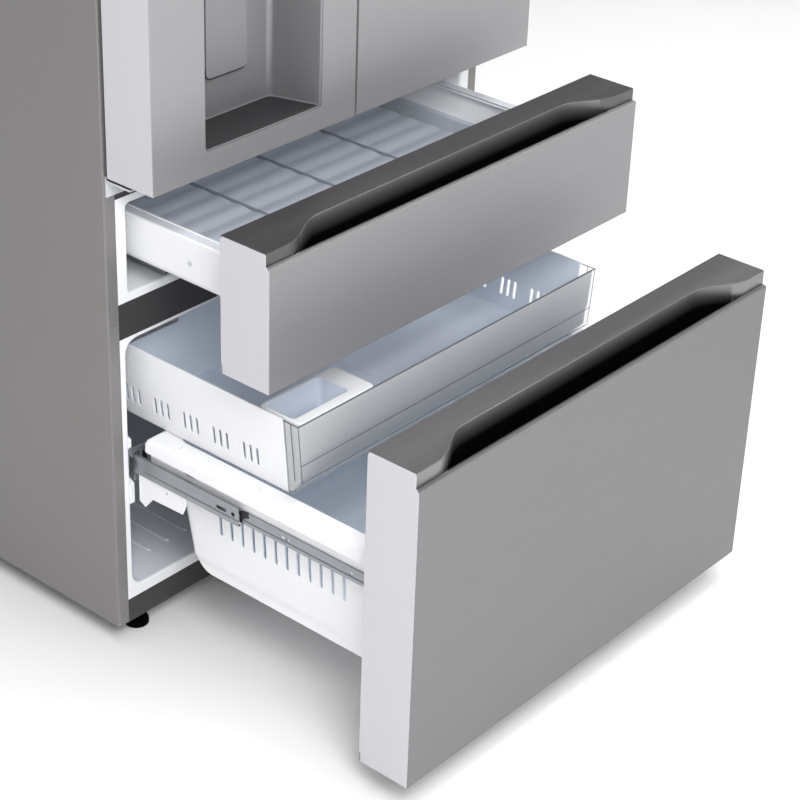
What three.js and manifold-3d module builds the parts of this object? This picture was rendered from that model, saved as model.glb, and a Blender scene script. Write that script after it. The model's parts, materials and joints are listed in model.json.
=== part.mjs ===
// A french-door refrigerator with two hinged doors over a middle drawer and a freezer drawer.
// Millimetres, +Z up. The front faces -Y, x = 0 is the middle and z = 0 is the floor.
// Shapes are written in the cabinet's frame, where y = 0 is the front plane of the case, with
// every drawer shut. Each drawer's group then carries it out to the position it is shown in.
import * as THREE from "three";
import { mergeVertices } from "three/addons/utils/BufferGeometryUtils.js";
import Module from "manifold-3d";

const wasm = await Module();
wasm.setup();

// ---------------------------------------------------------------- driving dimensions
const HALF = 454;                 // half the width of the case, doors and drawers
const FOOT = 35;                  // floor to the underside of the case
const CASE_TOP = 1752;
const CASE_DEPTH = 750;
const REAR = 759;                 // back of the machine-bay cover
const SHEET = 1.2;                // steel sheet of the case
const GAP = 0.3;                  // between pieces that touch
const FLANGE = 431;               // inner edge of the case's front flange
const LINER_WALL = 2.5;
const PAN = 1.5;                  // wall of the doors' and drawers' steel pans

const DOOR_FRONT = -110.9;        // front plane of doors and shut drawers
const DOOR_BACK = -10.9;
const DOOR_BOTTOM = 875.5;
const DOOR_TOP = 1755;
const DOOR_SPLIT = 2.5;           // half the gap between the two doors
const PIVOT_X = 432;
const PIVOT_Y = -38.9;

const MIDDLE_OPEN = 240.3;        // how far the drawers stand out as shown
const FREEZER_OPEN = 537.3;
const BASKET_OPEN = 347.2;
const RAIL_SHARE = 0.5;           // a telescoping rail's middle member moves half as far

const FREEZER = { frame: [81.3, 582.7], inner: [102, 563], half: 418, depth: 640 };
const MIDDLE = { frame: [646.3, 828.7], inner: [660, 815], half: 408, depth: 560 };
const FRESH = { frame: [875.3, 1721.7], inner: [890, 1705], half: 404, depth: 600 };
const BAY = { top: 262, front: 475, liner: 290 };   // machine bay behind and under the freezer

const MIDDLE_FRONT = { bottom: 631.2, top: 840.4, cap: 862.4 };
const FREEZER_FRONT = { bottom: 50.7, top: 592, cap: 619 };

// ---------------------------------------------------------------- finishes
const finish = (color, roughness, metalness) => () =>
  new THREE.MeshStandardMaterial({ color, roughness, metalness });
const STEEL = finish(0xa9a8ac, 0.35, 0.9);
const CAP_GREY = finish(0x68666a, 0.4, 0.8);
const PAINT = finish(0x8b8987, 0.55, 0.3);
const DARK_TRIM = finish(0x4a4648, 0.6, 0.2);
const WHITE = finish(0xf1f2f4, 0.35, 0);
const PALE_BLUE = finish(0xc9d2dc, 0.4, 0);
const CLEAR = finish(0xdfe8ee, 0.08, 0);
const BLACK = finish(0x1b1b1d, 0.6, 0);
const ZINC = finish(0xb9bcc0, 0.35, 0.9);
const GALVANISED = finish(0x9fa2a4, 0.5, 0.7);
const SILVER = finish(0xb4b4b8, 0.4, 0.5);

// ---------------------------------------------------------------- solids
function box(x0, x1, y0, y1, z0, z1) {
  const geometry = new THREE.BoxGeometry(x1 - x0, y1 - y0, z1 - z0);
  return geometry.translate((x0 + x1) / 2, (y0 + y1) / 2, (z0 + z1) / 2);
}

// A box on one side of the middle: side is -1 for left and 1 for right.
function sideBox(side, near, far, y0, y1, z0, z1) {
  const [x0, x1] = side > 0 ? [near, far] : [-far, -near];
  return box(x0, x1, y0, y1, z0, z1);
}

const AXES = {
  x: [[0, 1, 0], [0, 0, 1], [1, 0, 0]],
  y: [[1, 0, 0], [0, 0, 1], [0, -1, 0]],
  z: [[1, 0, 0], [0, 1, 0], [0, 0, 1]],
};

// A flat outline pushed along one axis. Its points are (y, z), (x, z) or (x, y).
function prism(outline, axis, low, high) {
  const shape = outline instanceof THREE.Shape
    ? outline
    : new THREE.Shape(outline.map(([u, v]) => new THREE.Vector2(u, v)));
  const options = { depth: high - low, bevelEnabled: false, curveSegments: 6 };
  const geometry = new THREE.ExtrudeGeometry(shape, options);
  const [right, up, out] = AXES[axis].map((v) => new THREE.Vector3(...v));
  geometry.applyMatrix4(new THREE.Matrix4().makeBasis(right, up, out));
  const start = axis === "y" ? high : low;
  return geometry.translate(axis === "x" ? start : 0, axis === "y" ? start : 0, axis === "z" ? start : 0);
}

function roundedRectangle(u0, u1, v0, v1, radius) {
  const shape = new THREE.Shape();
  shape.moveTo(u0 + radius, v0);
  shape.lineTo(u1 - radius, v0);
  shape.absarc(u1 - radius, v0 + radius, radius, -Math.PI / 2, 0);
  shape.lineTo(u1, v1 - radius);
  shape.absarc(u1 - radius, v1 - radius, radius, 0, Math.PI / 2);
  shape.lineTo(u0 + radius, v1);
  shape.absarc(u0 + radius, v1 - radius, radius, Math.PI / 2, Math.PI);
  shape.lineTo(u0, v0 + radius);
  shape.absarc(u0 + radius, v0 + radius, radius, Math.PI, 1.5 * Math.PI);
  return shape;
}

// An upright round bar, or one lying along x.
function cylinder(radius, x, y, z0, z1, sides = 16) {
  const geometry = new THREE.CylinderGeometry(radius, radius, z1 - z0, sides);
  return geometry.rotateX(Math.PI / 2).translate(x, y, (z0 + z1) / 2);
}

function axle(radius, x0, x1, y, z, sides = 16) {
  const geometry = new THREE.CylinderGeometry(radius, radius, x1 - x0, sides);
  return geometry.rotateZ(Math.PI / 2).translate((x0 + x1) / 2, y, z);
}

function toSolid(geometry) {
  const bare = geometry.clone();
  bare.deleteAttribute("normal");
  bare.deleteAttribute("uv");
  const merged = mergeVertices(bare, 1e-3);
  return new wasm.Manifold(new wasm.Mesh({
    numProp: 3,
    vertProperties: new Float32Array(merged.attributes.position.array),
    triVerts: new Uint32Array(merged.index.array),
  }));
}

function toGeometry(solid) {
  const mesh = solid.getMesh();
  const geometry = new THREE.BufferGeometry();
  geometry.setAttribute("position", new THREE.BufferAttribute(mesh.vertProperties, 3));
  geometry.setIndex(new THREE.BufferAttribute(mesh.triVerts, 1));
  return geometry;
}

const join = (first, ...rest) =>
  toGeometry(rest.reduce((solid, next) => solid.add(toSolid(next)), toSolid(first)));
const cut = (first, ...tools) =>
  toGeometry(tools.reduce((solid, tool) => solid.subtract(toSolid(tool)), toSolid(first)));

function piece(group, name, geometry, material) {
  const mesh = new THREE.Mesh(geometry, material());
  mesh.name = name;
  group.add(mesh);
  return mesh;
}

const SIDES = [["left", -1], ["right", 1]];

// ---------------------------------------------------------------- case
function caseWrapper() {
  const shell = box(-HALF, HALF, 0, CASE_DEPTH, FOOT, CASE_TOP);
  const inside = box(
    -HALF + SHEET, HALF - SHEET, SHEET, CASE_DEPTH + 1, FOOT - 1, CASE_TOP - SHEET,
  );
  const mouth = box(-FLANGE, FLANGE, -1, SHEET + 1, FOOT - 1, FRESH.frame[1] + GAP);
  return cut(shell, inside, mouth);
}

function caseBack() {
  return box(-HALF + 4, HALF - 4, CASE_DEPTH + GAP, CASE_DEPTH + 2, BAY.top + GAP, CASE_TOP - 2);
}

function machineCover() {
  const reach = HALF - 4;
  const pan = box(-reach, reach, CASE_DEPTH + GAP, REAR, FOOT + 2, BAY.top);
  const hollow = box(-reach + 2, reach - 2, CASE_DEPTH - 1, REAR - 2, FOOT + 4, BAY.top - 2);
  const slots = [];
  const count = 14;
  for (let i = 0; i < count; i += 1) {
    const x = (i - (count - 1) / 2) * 40;
    slots.push(box(x - 5, x + 5, REAR - 3, REAR + 1, 90, 210));
  }
  return cut(pan, hollow, ...slots);
}

const ROLLER = { x: 400, y: 700, radius: 17, half: 9, bore: 5 };

// The pressed floor of the case, with a yoke and axle under it for each rear roller.
function caseBase() {
  const floor = box(-HALF + 2, HALF - 2, 2, CASE_DEPTH - 2, FOOT, FOOT + 2);
  const parts = [];
  for (const [, side] of SIDES) {
    const ear = ROLLER.half + 2;
    for (const lean of [-1, 1]) {
      const x = side * ROLLER.x + lean * ear;
      parts.push(box(x - 1.2, x + 1.2, ROLLER.y - 12, ROLLER.y + 12, 8, FOOT + 1));
    }
    const middle = side * ROLLER.x;
    parts.push(axle(ROLLER.bore - 0.6, middle - ear, middle + ear, ROLLER.y, ROLLER.radius, 12));
  }
  return join(floor, ...parts);
}

function roller(side) {
  const x = side * ROLLER.x;
  const wheel = axle(ROLLER.radius, x - ROLLER.half, x + ROLLER.half, ROLLER.y, ROLLER.radius, 24);
  const bore = axle(ROLLER.bore, x - 20, x + 20, ROLLER.y, ROLLER.radius, 12);
  return cut(wheel, bore);
}

function levellingFoot(side) {
  const [x, y] = [side * 388, 28];
  const pad = cylinder(21.5, x, y, 0, 13, 24);
  const nut = cylinder(11, x, y, 12, 19, 6);
  const stem = cylinder(6, x, y, 18, FOOT - GAP, 12);
  return join(pad, nut, stem);
}

function baseCover() {
  const panel = box(-FLANGE + GAP, FLANGE - GAP, 0, 14, FOOT + 2 + GAP, FREEZER.frame[0] - GAP);
  const relief = box(-FLANGE + 14, FLANGE - 14, 3, 15, FOOT + 8, FREEZER.frame[0] - 6);
  return cut(panel, relief);
}

function dividerRail(bottom, top) {
  const bar = box(-FLANGE + GAP, FLANGE - GAP, 0, 24, bottom + GAP, top - GAP);
  const channel = box(-FLANGE + 20, FLANGE - 20, 3, 25, bottom + 8, top - 8);
  return cut(bar, channel);
}

// Outline of a compartment seen from the side, grown by one wall for the outside.
function linerOutline(room, grow, front) {
  const [low, high] = [room.inner[0] - grow, room.inner[1] + grow];
  if (room !== FREEZER) {
    return [[front, low], [room.depth + grow, low], [room.depth + grow, high], [front, high]];
  }
  const knee = BAY.front - LINER_WALL * 2;
  return [
    [front, low], [knee + grow, low], [knee + grow, BAY.liner - grow],
    [room.depth + grow, BAY.liner + 70 - grow], [room.depth + grow, high], [front, high],
  ];
}

function liner(room) {
  const reach = room.half + LINER_WALL;
  const shell = prism(linerOutline(room, LINER_WALL, 0), "x", -reach, reach);
  const flange = box(-FLANGE + GAP, FLANGE - GAP, 0, LINER_WALL, ...room.frame);
  const cavity = prism(linerOutline(room, 0, -1), "x", -room.half, room.half);
  return cut(join(shell, flange), cavity);
}

// ---------------------------------------------------------------- machine bay
function compressor() {
  const [x, y, base] = [-210, 640, FOOT + 2 + GAP];
  const foot = box(x - 85, x + 85, y - 55, y + 55, base, base + 4);
  const profile = [
    [0, 0], [48, 0], [58, 16], [60, 34], [60, 86], [52, 112], [34, 130], [0, 136],
  ];
  const points = profile.map(([r, h]) => new THREE.Vector2(r, h));
  const can = new THREE.LatheGeometry(points, 20).rotateX(Math.PI / 2).translate(x, y, base + 3);
  return join(foot, can);
}

// ---------------------------------------------------------------- hinges
function upperHinge(side) {
  const plate = { low: DOOR_TOP + 2, high: DOOR_TOP + 6 };
  const foot = sideBox(side, 372, 446, 8, 96, CASE_TOP + GAP, plate.high);
  const arm = sideBox(side, 412, 446, -56, 20, plate.low, plate.high);
  const pin = cylinder(6, side * PIVOT_X, PIVOT_Y, DOOR_TOP - 14, plate.high - 1, 12);
  return join(foot, arm, pin);
}

function hingeCover(side) {
  const outline = roundedRectangle(352, 450, 2, 128, 16);
  const cover = prism(outline, "z", CASE_TOP + GAP, 1784);
  const nose = prism(roundedRectangle(406, 450, -62, 20, 14), "z", DOOR_TOP + 1, 1784);
  const hollow = box(356, 447, 5, 124, CASE_TOP - 1, 1781);
  const noseHollow = box(410, 447, -58, 20, CASE_TOP - 1, 1781);
  const solid = cut(join(cover, nose), hollow, noseHollow);
  return side > 0 ? solid : mirrored(solid);
}

// The same solid on the other side of x = 0, with its faces turned back outward.
function mirrored(geometry) {
  const copy = geometry.clone().scale(-1, 1, 1);
  const index = copy.index.array;
  for (let i = 0; i < index.length; i += 3) {
    [index[i], index[i + 1]] = [index[i + 1], index[i]];
  }
  return copy;
}

function lowerHinge(side) {
  const plate = sideBox(side, 398, 450, -4, -GAP, 840, 871);
  const arm = sideBox(side, 412, 450, -56, -2, 866, 871);
  const pin = cylinder(6, side * PIVOT_X, PIVOT_Y, 870, DOOR_BOTTOM + 14, 12);
  return join(plate, arm, pin);
}

// ---------------------------------------------------------------- telescoping rails
// Each rail is a stack of bars side by side, 1 mm apart, from the liner wall inward.
const FREEZER_RAIL = {
  fixed: [411, 417.7], slide: [404.5, 410], inner: [398, 403.5], z: 346, height: 44, step: 10,
};
const MIDDLE_RAIL = { fixed: [318, 326.7], inner: [305, 317], z: 679, height: 34, step: 8 };

function railBar(side, reach, y0, y1, middle, height) {
  const bar = sideBox(side, ...reach, y0, y1, middle - height / 2, middle + height / 2);
  const depth = (reach[1] - reach[0]) * 0.45;
  const groove = sideBox(
    side, reach[0] - 1, reach[0] + depth, y0 - 1, y1 + 1, middle - height / 4, middle + height / 4,
  );
  return cut(bar, groove);
}

// ---------------------------------------------------------------- fresh-food fittings
const SHELF = { front: 215, back: 590, half: 398 };

function shelf(z) {
  const frame = box(-SHELF.half, SHELF.half, SHELF.front, SHELF.back, z, z + 14);
  const under = box(-SHELF.half + 14, SHELF.half - 14, SHELF.front + 14, SHELF.back - 14, z - 1, z + 8);
  return cut(frame, under);
}

function crisperCover() {
  const lid = box(-SHELF.half, SHELF.half, 110, SHELF.back, 1072, 1082);
  const spine = box(-3, 3, 112, SHELF.back - 2, 892, 1073);
  return join(lid, spine);
}

const CRISPER = { near: 6, far: 392, front: 115, back: 560, low: 896, high: 1064 };

function crisper(side) {
  const c = CRISPER;
  const tub = sideBox(side, c.near, c.far, c.front, c.back, c.low, c.high);
  const inside = sideBox(side, c.near + 4, c.far - 4, c.front + 16, c.back - 4, c.low + 4, c.high + 1);
  return cut(tub, inside);
}

function airDuct() {
  const tower = prism(roundedRectangle(-120, 120, 1092, 1690, 18), "y", 592, 599.5);
  const vents = [];
  for (const z of [1180, 1290, 1400, 1510, 1620]) {
    for (const side of [-1, 1]) {
      vents.push(box(side * 75 - 32, side * 75 + 32, 590, 595, z, z + 10));
    }
  }
  return cut(tower, ...vents);
}

// ---------------------------------------------------------------- doors
const GRIP = { low: 1130, high: 1560, slot: 26, hook: 52, skin: 22, deep: 60, wall: 3 };
const ALCOVE = { left: -344, right: -83, low: 915, high: 1290, back: -24.5, draft: 30 };

// The finger grip at the doors' meeting edges: a slot open to the front, then a hook to the side.
function gripRecess(side, grow) {
  const [low, high] = [GRIP.low - grow, GRIP.high + grow];
  const back = DOOR_FRONT + GRIP.deep + grow;
  const slot = sideBox(side, DOOR_SPLIT - 10, GRIP.slot + grow, DOOR_FRONT - 1, back, low, high);
  const hook = sideBox(
    side, DOOR_SPLIT - 10, GRIP.hook + grow, DOOR_FRONT + GRIP.skin - grow, back, low, high,
  );
  return join(slot, hook);
}

// A steel door pan, open at the back.
function doorPan(side) {
  const [near, far] = [DOOR_SPLIT, HALF];
  const pan = sideBox(side, near, far, DOOR_FRONT, DOOR_BACK, DOOR_BOTTOM, DOOR_TOP);
  const hollow = sideBox(
    side, near + PAN, far - PAN, DOOR_FRONT + PAN, DOOR_BACK + 1, DOOR_BOTTOM + PAN, DOOR_TOP - PAN,
  );
  const bores = [DOOR_BOTTOM - 5, DOOR_TOP - 15].map((z) =>
    cylinder(7, side * PIVOT_X, PIVOT_Y, z, z + 20, 12));
  const shell = cut(pan, cut(hollow, gripRecess(side, GRIP.wall)), gripRecess(side, 0), ...bores);
  if (side > 0) {
    return shell;
  }
  const window = box(ALCOVE.left, ALCOVE.right, DOOR_FRONT - 1, DOOR_FRONT + 10, ALCOVE.low, ALCOVE.high);
  return cut(shell, window);
}

// The dispenser's moulded recess: its right wall leans in towards the back.
function dispenserHousing() {
  const a = ALCOVE;
  const outline = (grow) => [
    [a.left + GAP + 2 - grow, DOOR_FRONT + 0.5 - (grow ? 0 : 1)],
    [a.left + GAP + 2 - grow, a.back + grow],
    [a.right - a.draft - 2 + grow, a.back + grow],
    [a.right - GAP - 2 + grow, DOOR_FRONT + 0.5 - (grow ? 0 : 1)],
  ];
  const shell = prism(outline(2), "z", a.low + GAP, a.high - GAP);
  const room = prism(outline(0), "z", a.low + GAP + 2, a.high - GAP - 2);
  return cut(shell, room);
}

const PADDLE = { x: -222, half: 45, front: -35, back: -31.5, low: 990, top: 1160 };

function dispenserPaddle() {
  const p = PADDLE;
  const plate = prism(roundedRectangle(p.x - p.half, p.x + p.half, p.low, p.top, 10), "y", p.front, p.back);
  const rod = axle(4, p.x - p.half, p.x + p.half, p.back - 2, p.top, 10);
  return join(plate, rod);
}

// Inner door panel: a thin plate with a raised middle that enters the compartment.
function doorPanel(side, near, far) {
  const plate = sideBox(
    side, DOOR_SPLIT + PAN + GAP, HALF - PAN - GAP, -16, -11.2, DOOR_BOTTOM + PAN + GAP, DOOR_TOP - PAN - GAP,
  );
  const swell = sideBox(side, near, far, -12, 20, 900, 1695);
  const hollow = sideBox(side, near + 3, far - 3, -17, 17, 903, 1692);
  return cut(join(plate, swell), hollow);
}

function doorBin(x0, x1, z, height, depth) {
  const front = 20 + GAP;
  const tub = box(x0, x1, front, front + depth, z, z + height);
  const inside = box(x0 + 3, x1 - 3, front + 3, front + depth - 3, z + 3, z + height + 1);
  return cut(tub, inside);
}

const ICE = { x0: -382, x1: -52, low: 1330, high: 1690, front: 20 + GAP, back: 96 };

function iceRoom() {
  const block = box(ICE.x0, ICE.x1, ICE.front, ICE.back, ICE.low, ICE.high);
  const room = box(ICE.x0 + 5, ICE.x1 - 5, ICE.front + 5, ICE.back + 1, ICE.low + 5, ICE.high - 5);
  return cut(block, room);
}

function iceRoomDoor() {
  const door = prism(
    roundedRectangle(ICE.x0, ICE.x1, ICE.low, ICE.high, 12), "y", ICE.back + 1, ICE.back + 9,
  );
  const latch = box(ICE.x1 - 30, ICE.x1 - 12, ICE.back + 8, ICE.back + 15, 1490, 1530);
  return join(door, latch);
}

// The flap that closes the gap between the doors, stored folded along the left door's edge.
const MULLION = { x0: -41, x1: -23, y0: -6, y1: 60 };

function mullion() {
  const m = MULLION;
  return prism(roundedRectangle(m.x0, m.x1, m.y0, m.y1, 3), "z", 905, 1700);
}

// ---------------------------------------------------------------- drawer fronts
const POCKET = { lip: 10, set: 8, deep: 48, down: 62, flat: 300, end: 407, wall: 2 };

// Steel pan of a drawer: front, sides and floor, with a folded lip along the top edge.
function drawerPan({ bottom, top }) {
  const block = box(-HALF, HALF, DOOR_FRONT, DOOR_BACK, bottom, top);
  const hollow = box(
    -HALF + PAN, HALF - PAN, DOOR_FRONT + PAN, DOOR_BACK + 1, bottom + PAN, top - PAN,
  );
  const mouth = box(-HALF + PAN, HALF - PAN, DOOR_FRONT + POCKET.lip, DOOR_BACK + 1, top - PAN - 1, top + 1);
  return cut(block, hollow, mouth);
}

// Half of the cap's front edge: forward at the end, then an S-curve back to the flat middle.
function capEdge() {
  const forward = DOOR_FRONT + POCKET.set;
  const back = DOOR_FRONT + POCKET.deep;
  const steps = 10;
  const edge = [];
  for (let i = 0; i <= steps; i += 1) {
    const t = i / steps;
    const ease = (1 - Math.cos(Math.PI * t)) / 2;
    edge.push([POCKET.end - (POCKET.end - POCKET.flat) * t, forward + (back - forward) * ease]);
  }
  return edge;
}

// A half outline on the right, given from its outer end to the middle, made whole.
function bothHalves(half) {
  const left = half.map(([x, y]) => [-x, y]);
  return [...left, ...half.slice().reverse()];
}

function pocketOutline(grow) {
  const front = DOOR_FRONT + POCKET.lip + GAP + POCKET.wall;
  const edge = capEdge().filter(([, y]) => y > front + 1);
  const grown = edge.map(([x, y]) => [x + grow, y + grow]);
  return bothHalves([[edge[0][0] + grow, front - grow], ...grown]);
}

// The cap over the drawer's top, with the finger trough that hangs from it behind the lip.
function drawerCap({ top, cap }) {
  const slab = prism(
    [...bothHalves([[HALF, DOOR_FRONT + POCKET.set], ...capEdge()]), [HALF, DOOR_BACK], [-HALF, DOOR_BACK]],
    "z", top + GAP, cap,
  );
  const floor = top - POCKET.down;
  const trough = prism(pocketOutline(POCKET.wall), "z", floor, top + 1);
  const room = prism(pocketOutline(0), "z", floor + POCKET.wall, top + 2);
  return join(cut(trough, room), slab);
}

function drawerPanel({ bottom, top }, swell) {
  const plate = box(
    -HALF + PAN + GAP, HALF - PAN - GAP, -16, -11.2, bottom + PAN + GAP, top - PAN - GAP,
  );
  const ridge = box(-swell.half, swell.half, -12, -6, swell.low, swell.high);
  return join(plate, ridge);
}

// ---------------------------------------------------------------- drawer tubs
const TUB = {
  half: 380, front: -5.5, wallBack: 472, kneeBack: 440, kneeHigh: 198, floorBack: 404,
  low: 165, rim: 403, rimReach: 412, rimBack: 515, wall: 3,
};

// Side outline of the tub: a level floor, a round heel and a back that leans out to the rim.
function tubOutline(inset, rise) {
  const t = TUB;
  const shape = new THREE.Shape();
  shape.moveTo(t.front + inset, t.low + inset);
  shape.lineTo(t.floorBack, t.low + inset);
  shape.quadraticCurveTo(t.kneeBack - 5 - inset, t.low + inset, t.kneeBack - inset, t.kneeHigh);
  shape.lineTo(t.wallBack - inset, t.rim + rise);
  shape.lineTo(t.front + inset, t.rim + rise);
  return shape;
}

// The deep freezer tub hangs from a wide rim that covers the rails.
function freezerTub() {
  const body = prism(tubOutline(0, 0), "x", -TUB.half, TUB.half);
  const reach = TUB.rimReach;
  const rim = box(-reach, reach, TUB.front, TUB.rimBack, TUB.rim - 5, TUB.rim);
  const skirts = SIDES.map(([, side]) =>
    sideBox(side, reach - 2.5, reach, TUB.front, TUB.rimBack, TUB.rim - 22, TUB.rim));
  const room = prism(tubOutline(TUB.wall, 1), "x", -TUB.half + TUB.wall, TUB.half - TUB.wall);
  return cut(join(body, rim, ...skirts), room);
}

const BASKET = { half: 378, front: 35.2, back: 408, low: 404.5, high: 545, wall: 3 };

function basketTub() {
  const b = BASKET;
  const body = box(-b.half, b.half, b.front, b.back, b.low, b.high);
  const room = box(
    -b.half + b.wall, b.half - b.wall, b.front - 1, b.back - b.wall, b.low + b.wall, b.high + 1,
  );
  return cut(body, room);
}

// The clear front of the basket: an upper face, a step, and a lower face set back that meets the floor.
function basketWindow() {
  const reach = BASKET.half;
  const back = BASKET.front - GAP;
  const body = prism(
    [[2, 430], [2, 543], [back, 543], [back, 403.5], [26, 403.5], [8, 430]], "x", -reach, reach,
  );
  const room = prism(
    [[6, 433], [6, 544], [back + 1, 544], [back + 1, 407.5], [28, 407.5], [12, 433]],
    "x", -reach + 5, reach - 5,
  );
  return cut(body, room);
}

const INSERT = { x0: -372, x1: -238, rimEnd: -200, y0: 8, y1: 94, low: 452, rim: 535, high: 543.5, wall: 2.5 };

// A small bin that hangs by its rim in the basket's front left corner.
function basketInsert() {
  const n = INSERT;
  const body = box(n.x0, n.x1, n.y0, n.y1, n.low, n.high);
  const rim = box(n.x0, n.rimEnd, n.y0, n.y1, n.rim, n.high);
  const room = box(
    n.x0 + n.wall, n.x1 - n.wall, n.y0 + n.wall, n.y1 - n.wall, n.low + n.wall, n.high + 1,
  );
  return cut(join(body, rim), room);
}

const TRAY = { half: 391, front: -5.5, back: 470, low: 705, high: 790, wall: 3 };

function middleTray() {
  const t = TRAY;
  const body = box(-t.half, t.half, t.front, t.back, t.low, t.high);
  const room = box(
    -t.half + t.wall, t.half - t.wall, t.front + t.wall, t.back - t.wall, t.low + t.wall, t.high + 1,
  );
  return cut(body, room);
}

// ---------------------------------------------------------------- assembly
const refrigerator = new THREE.Group();
const frontMost = DOOR_FRONT - FREEZER_OPEN;
refrigerator.position.y = -(frontMost + REAR) / 2;

const cabinet = new THREE.Group();
refrigerator.add(cabinet);
piece(cabinet, "case_wrapper", caseWrapper(), PAINT);
piece(cabinet, "case_back", caseBack(), GALVANISED);
piece(cabinet, "machine_cover", machineCover(), DARK_TRIM);
piece(cabinet, "case_base", caseBase(), GALVANISED);
piece(cabinet, "base_cover", baseCover(), DARK_TRIM);
piece(cabinet, "lower_divider", dividerRail(FREEZER.frame[1], MIDDLE.frame[0]), DARK_TRIM);
piece(cabinet, "upper_divider", dividerRail(MIDDLE.frame[1], FRESH.frame[0]), DARK_TRIM);
piece(cabinet, "freezer_liner", liner(FREEZER), WHITE);
piece(cabinet, "middle_liner", liner(MIDDLE), WHITE);
piece(cabinet, "fresh_food_liner", liner(FRESH), WHITE);
piece(cabinet, "compressor", compressor(), BLACK);
piece(cabinet, "air_duct", airDuct(), SILVER);
piece(cabinet, "upper_shelf", shelf(1520), CLEAR);
piece(cabinet, "lower_shelf", shelf(1300), CLEAR);
piece(cabinet, "crisper_cover", crisperCover(), CLEAR);

const leftDoor = new THREE.Group();
piece(leftDoor, "left_door_pan", doorPan(-1), STEEL);
piece(leftDoor, "left_door_panel", doorPanel(-1, 50, 385), WHITE);
piece(leftDoor, "dispenser_housing", dispenserHousing(), SILVER);
piece(leftDoor, "dispenser_paddle", dispenserPaddle(), SILVER);
piece(leftDoor, "left_door_bin", doorBin(-380, -56, 1130, 90, 80), CLEAR);
piece(leftDoor, "ice_room", iceRoom(), WHITE);
piece(leftDoor, "ice_room_door", iceRoomDoor(), WHITE);
piece(leftDoor, "mullion_flap", mullion(), SILVER);
refrigerator.add(leftDoor);

const rightDoor = new THREE.Group();
piece(rightDoor, "right_door_pan", doorPan(1), STEEL);
piece(rightDoor, "right_door_panel", doorPanel(1, 72, 385), WHITE);
piece(rightDoor, "right_door_lower_bin", doorBin(76, 381, 1130, 110, 110), CLEAR);
piece(rightDoor, "right_door_upper_bin", doorBin(76, 381, 1420, 110, 110), CLEAR);
refrigerator.add(rightDoor);

const middleDrawer = new THREE.Group();
middleDrawer.position.y = -MIDDLE_OPEN;
piece(middleDrawer, "middle_drawer_pan", drawerPan(MIDDLE_FRONT), STEEL);
piece(middleDrawer, "middle_drawer_cap", drawerCap(MIDDLE_FRONT), CAP_GREY);
piece(middleDrawer, "middle_drawer_panel", drawerPanel(MIDDLE_FRONT, { half: 380, low: 668, high: 806 }), WHITE);
piece(middleDrawer, "middle_tray", middleTray(), WHITE);
refrigerator.add(middleDrawer);

const freezerDrawer = new THREE.Group();
freezerDrawer.position.y = -FREEZER_OPEN;
piece(freezerDrawer, "freezer_drawer_pan", drawerPan(FREEZER_FRONT), STEEL);
piece(freezerDrawer, "freezer_drawer_cap", drawerCap(FREEZER_FRONT), CAP_GREY);
piece(freezerDrawer, "freezer_drawer_panel", drawerPanel(FREEZER_FRONT, { half: 380, low: 112, high: 552 }), WHITE);
piece(freezerDrawer, "freezer_tub", freezerTub(), WHITE);
refrigerator.add(freezerDrawer);

const freezerSlides = new THREE.Group();
freezerSlides.position.y = -FREEZER_OPEN * RAIL_SHARE;
refrigerator.add(freezerSlides);

const basket = new THREE.Group();
basket.position.y = -BASKET_OPEN;
piece(basket, "basket_tub", basketTub(), WHITE);
piece(basket, "basket_window", basketWindow(), CLEAR);
piece(basket, "basket_insert", basketInsert(), CLEAR);
refrigerator.add(basket);

for (const [name, side] of SIDES) {
  const rail = FREEZER_RAIL;
  const middleRail = MIDDLE_RAIL;
  piece(cabinet, `${name}_foot`, levellingFoot(side), BLACK);
  piece(cabinet, `${name}_roller`, roller(side), BLACK);
  piece(cabinet, `${name}_upper_hinge`, upperHinge(side), ZINC);
  piece(cabinet, `${name}_hinge_cover`, hingeCover(side), DARK_TRIM);
  piece(cabinet, `${name}_lower_hinge`, lowerHinge(side), ZINC);
  piece(cabinet, `${name}_crisper`, crisper(side), CLEAR);
  piece(cabinet, `${name}_freezer_rail`, railBar(side, rail.fixed, 3, 468, rail.z, rail.height), ZINC);
  piece(
    cabinet, `${name}_middle_rail`,
    railBar(side, middleRail.fixed, 3, 460, middleRail.z, middleRail.height), ZINC,
  );
  piece(
    middleDrawer, `${name}_middle_runner`,
    railBar(side, middleRail.inner, TRAY.front, 450, middleRail.z, middleRail.height - middleRail.step), ZINC,
  );
  piece(
    freezerDrawer, `${name}_freezer_runner`,
    railBar(side, rail.inner, DOOR_BACK, 430, rail.z, rail.height - 2 * rail.step), ZINC,
  );
  piece(
    freezerSlides, `${name}_freezer_slide`,
    railBar(side, rail.slide, 26, 466, rail.z, rail.height - rail.step), ZINC,
  );
}

export default refrigerator;
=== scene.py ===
"""The looks of a french-door refrigerator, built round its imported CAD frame.

Shapes are written in millimetres in the cabinet's frame with every drawer shut: y = 0 is the
front plane of the case, z = 0 is the floor. Each body's shift then carries them to the place
the CAD shows them in.
"""

import json
import math

import bmesh
import bpy
from mathutils import Matrix, Vector


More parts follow.
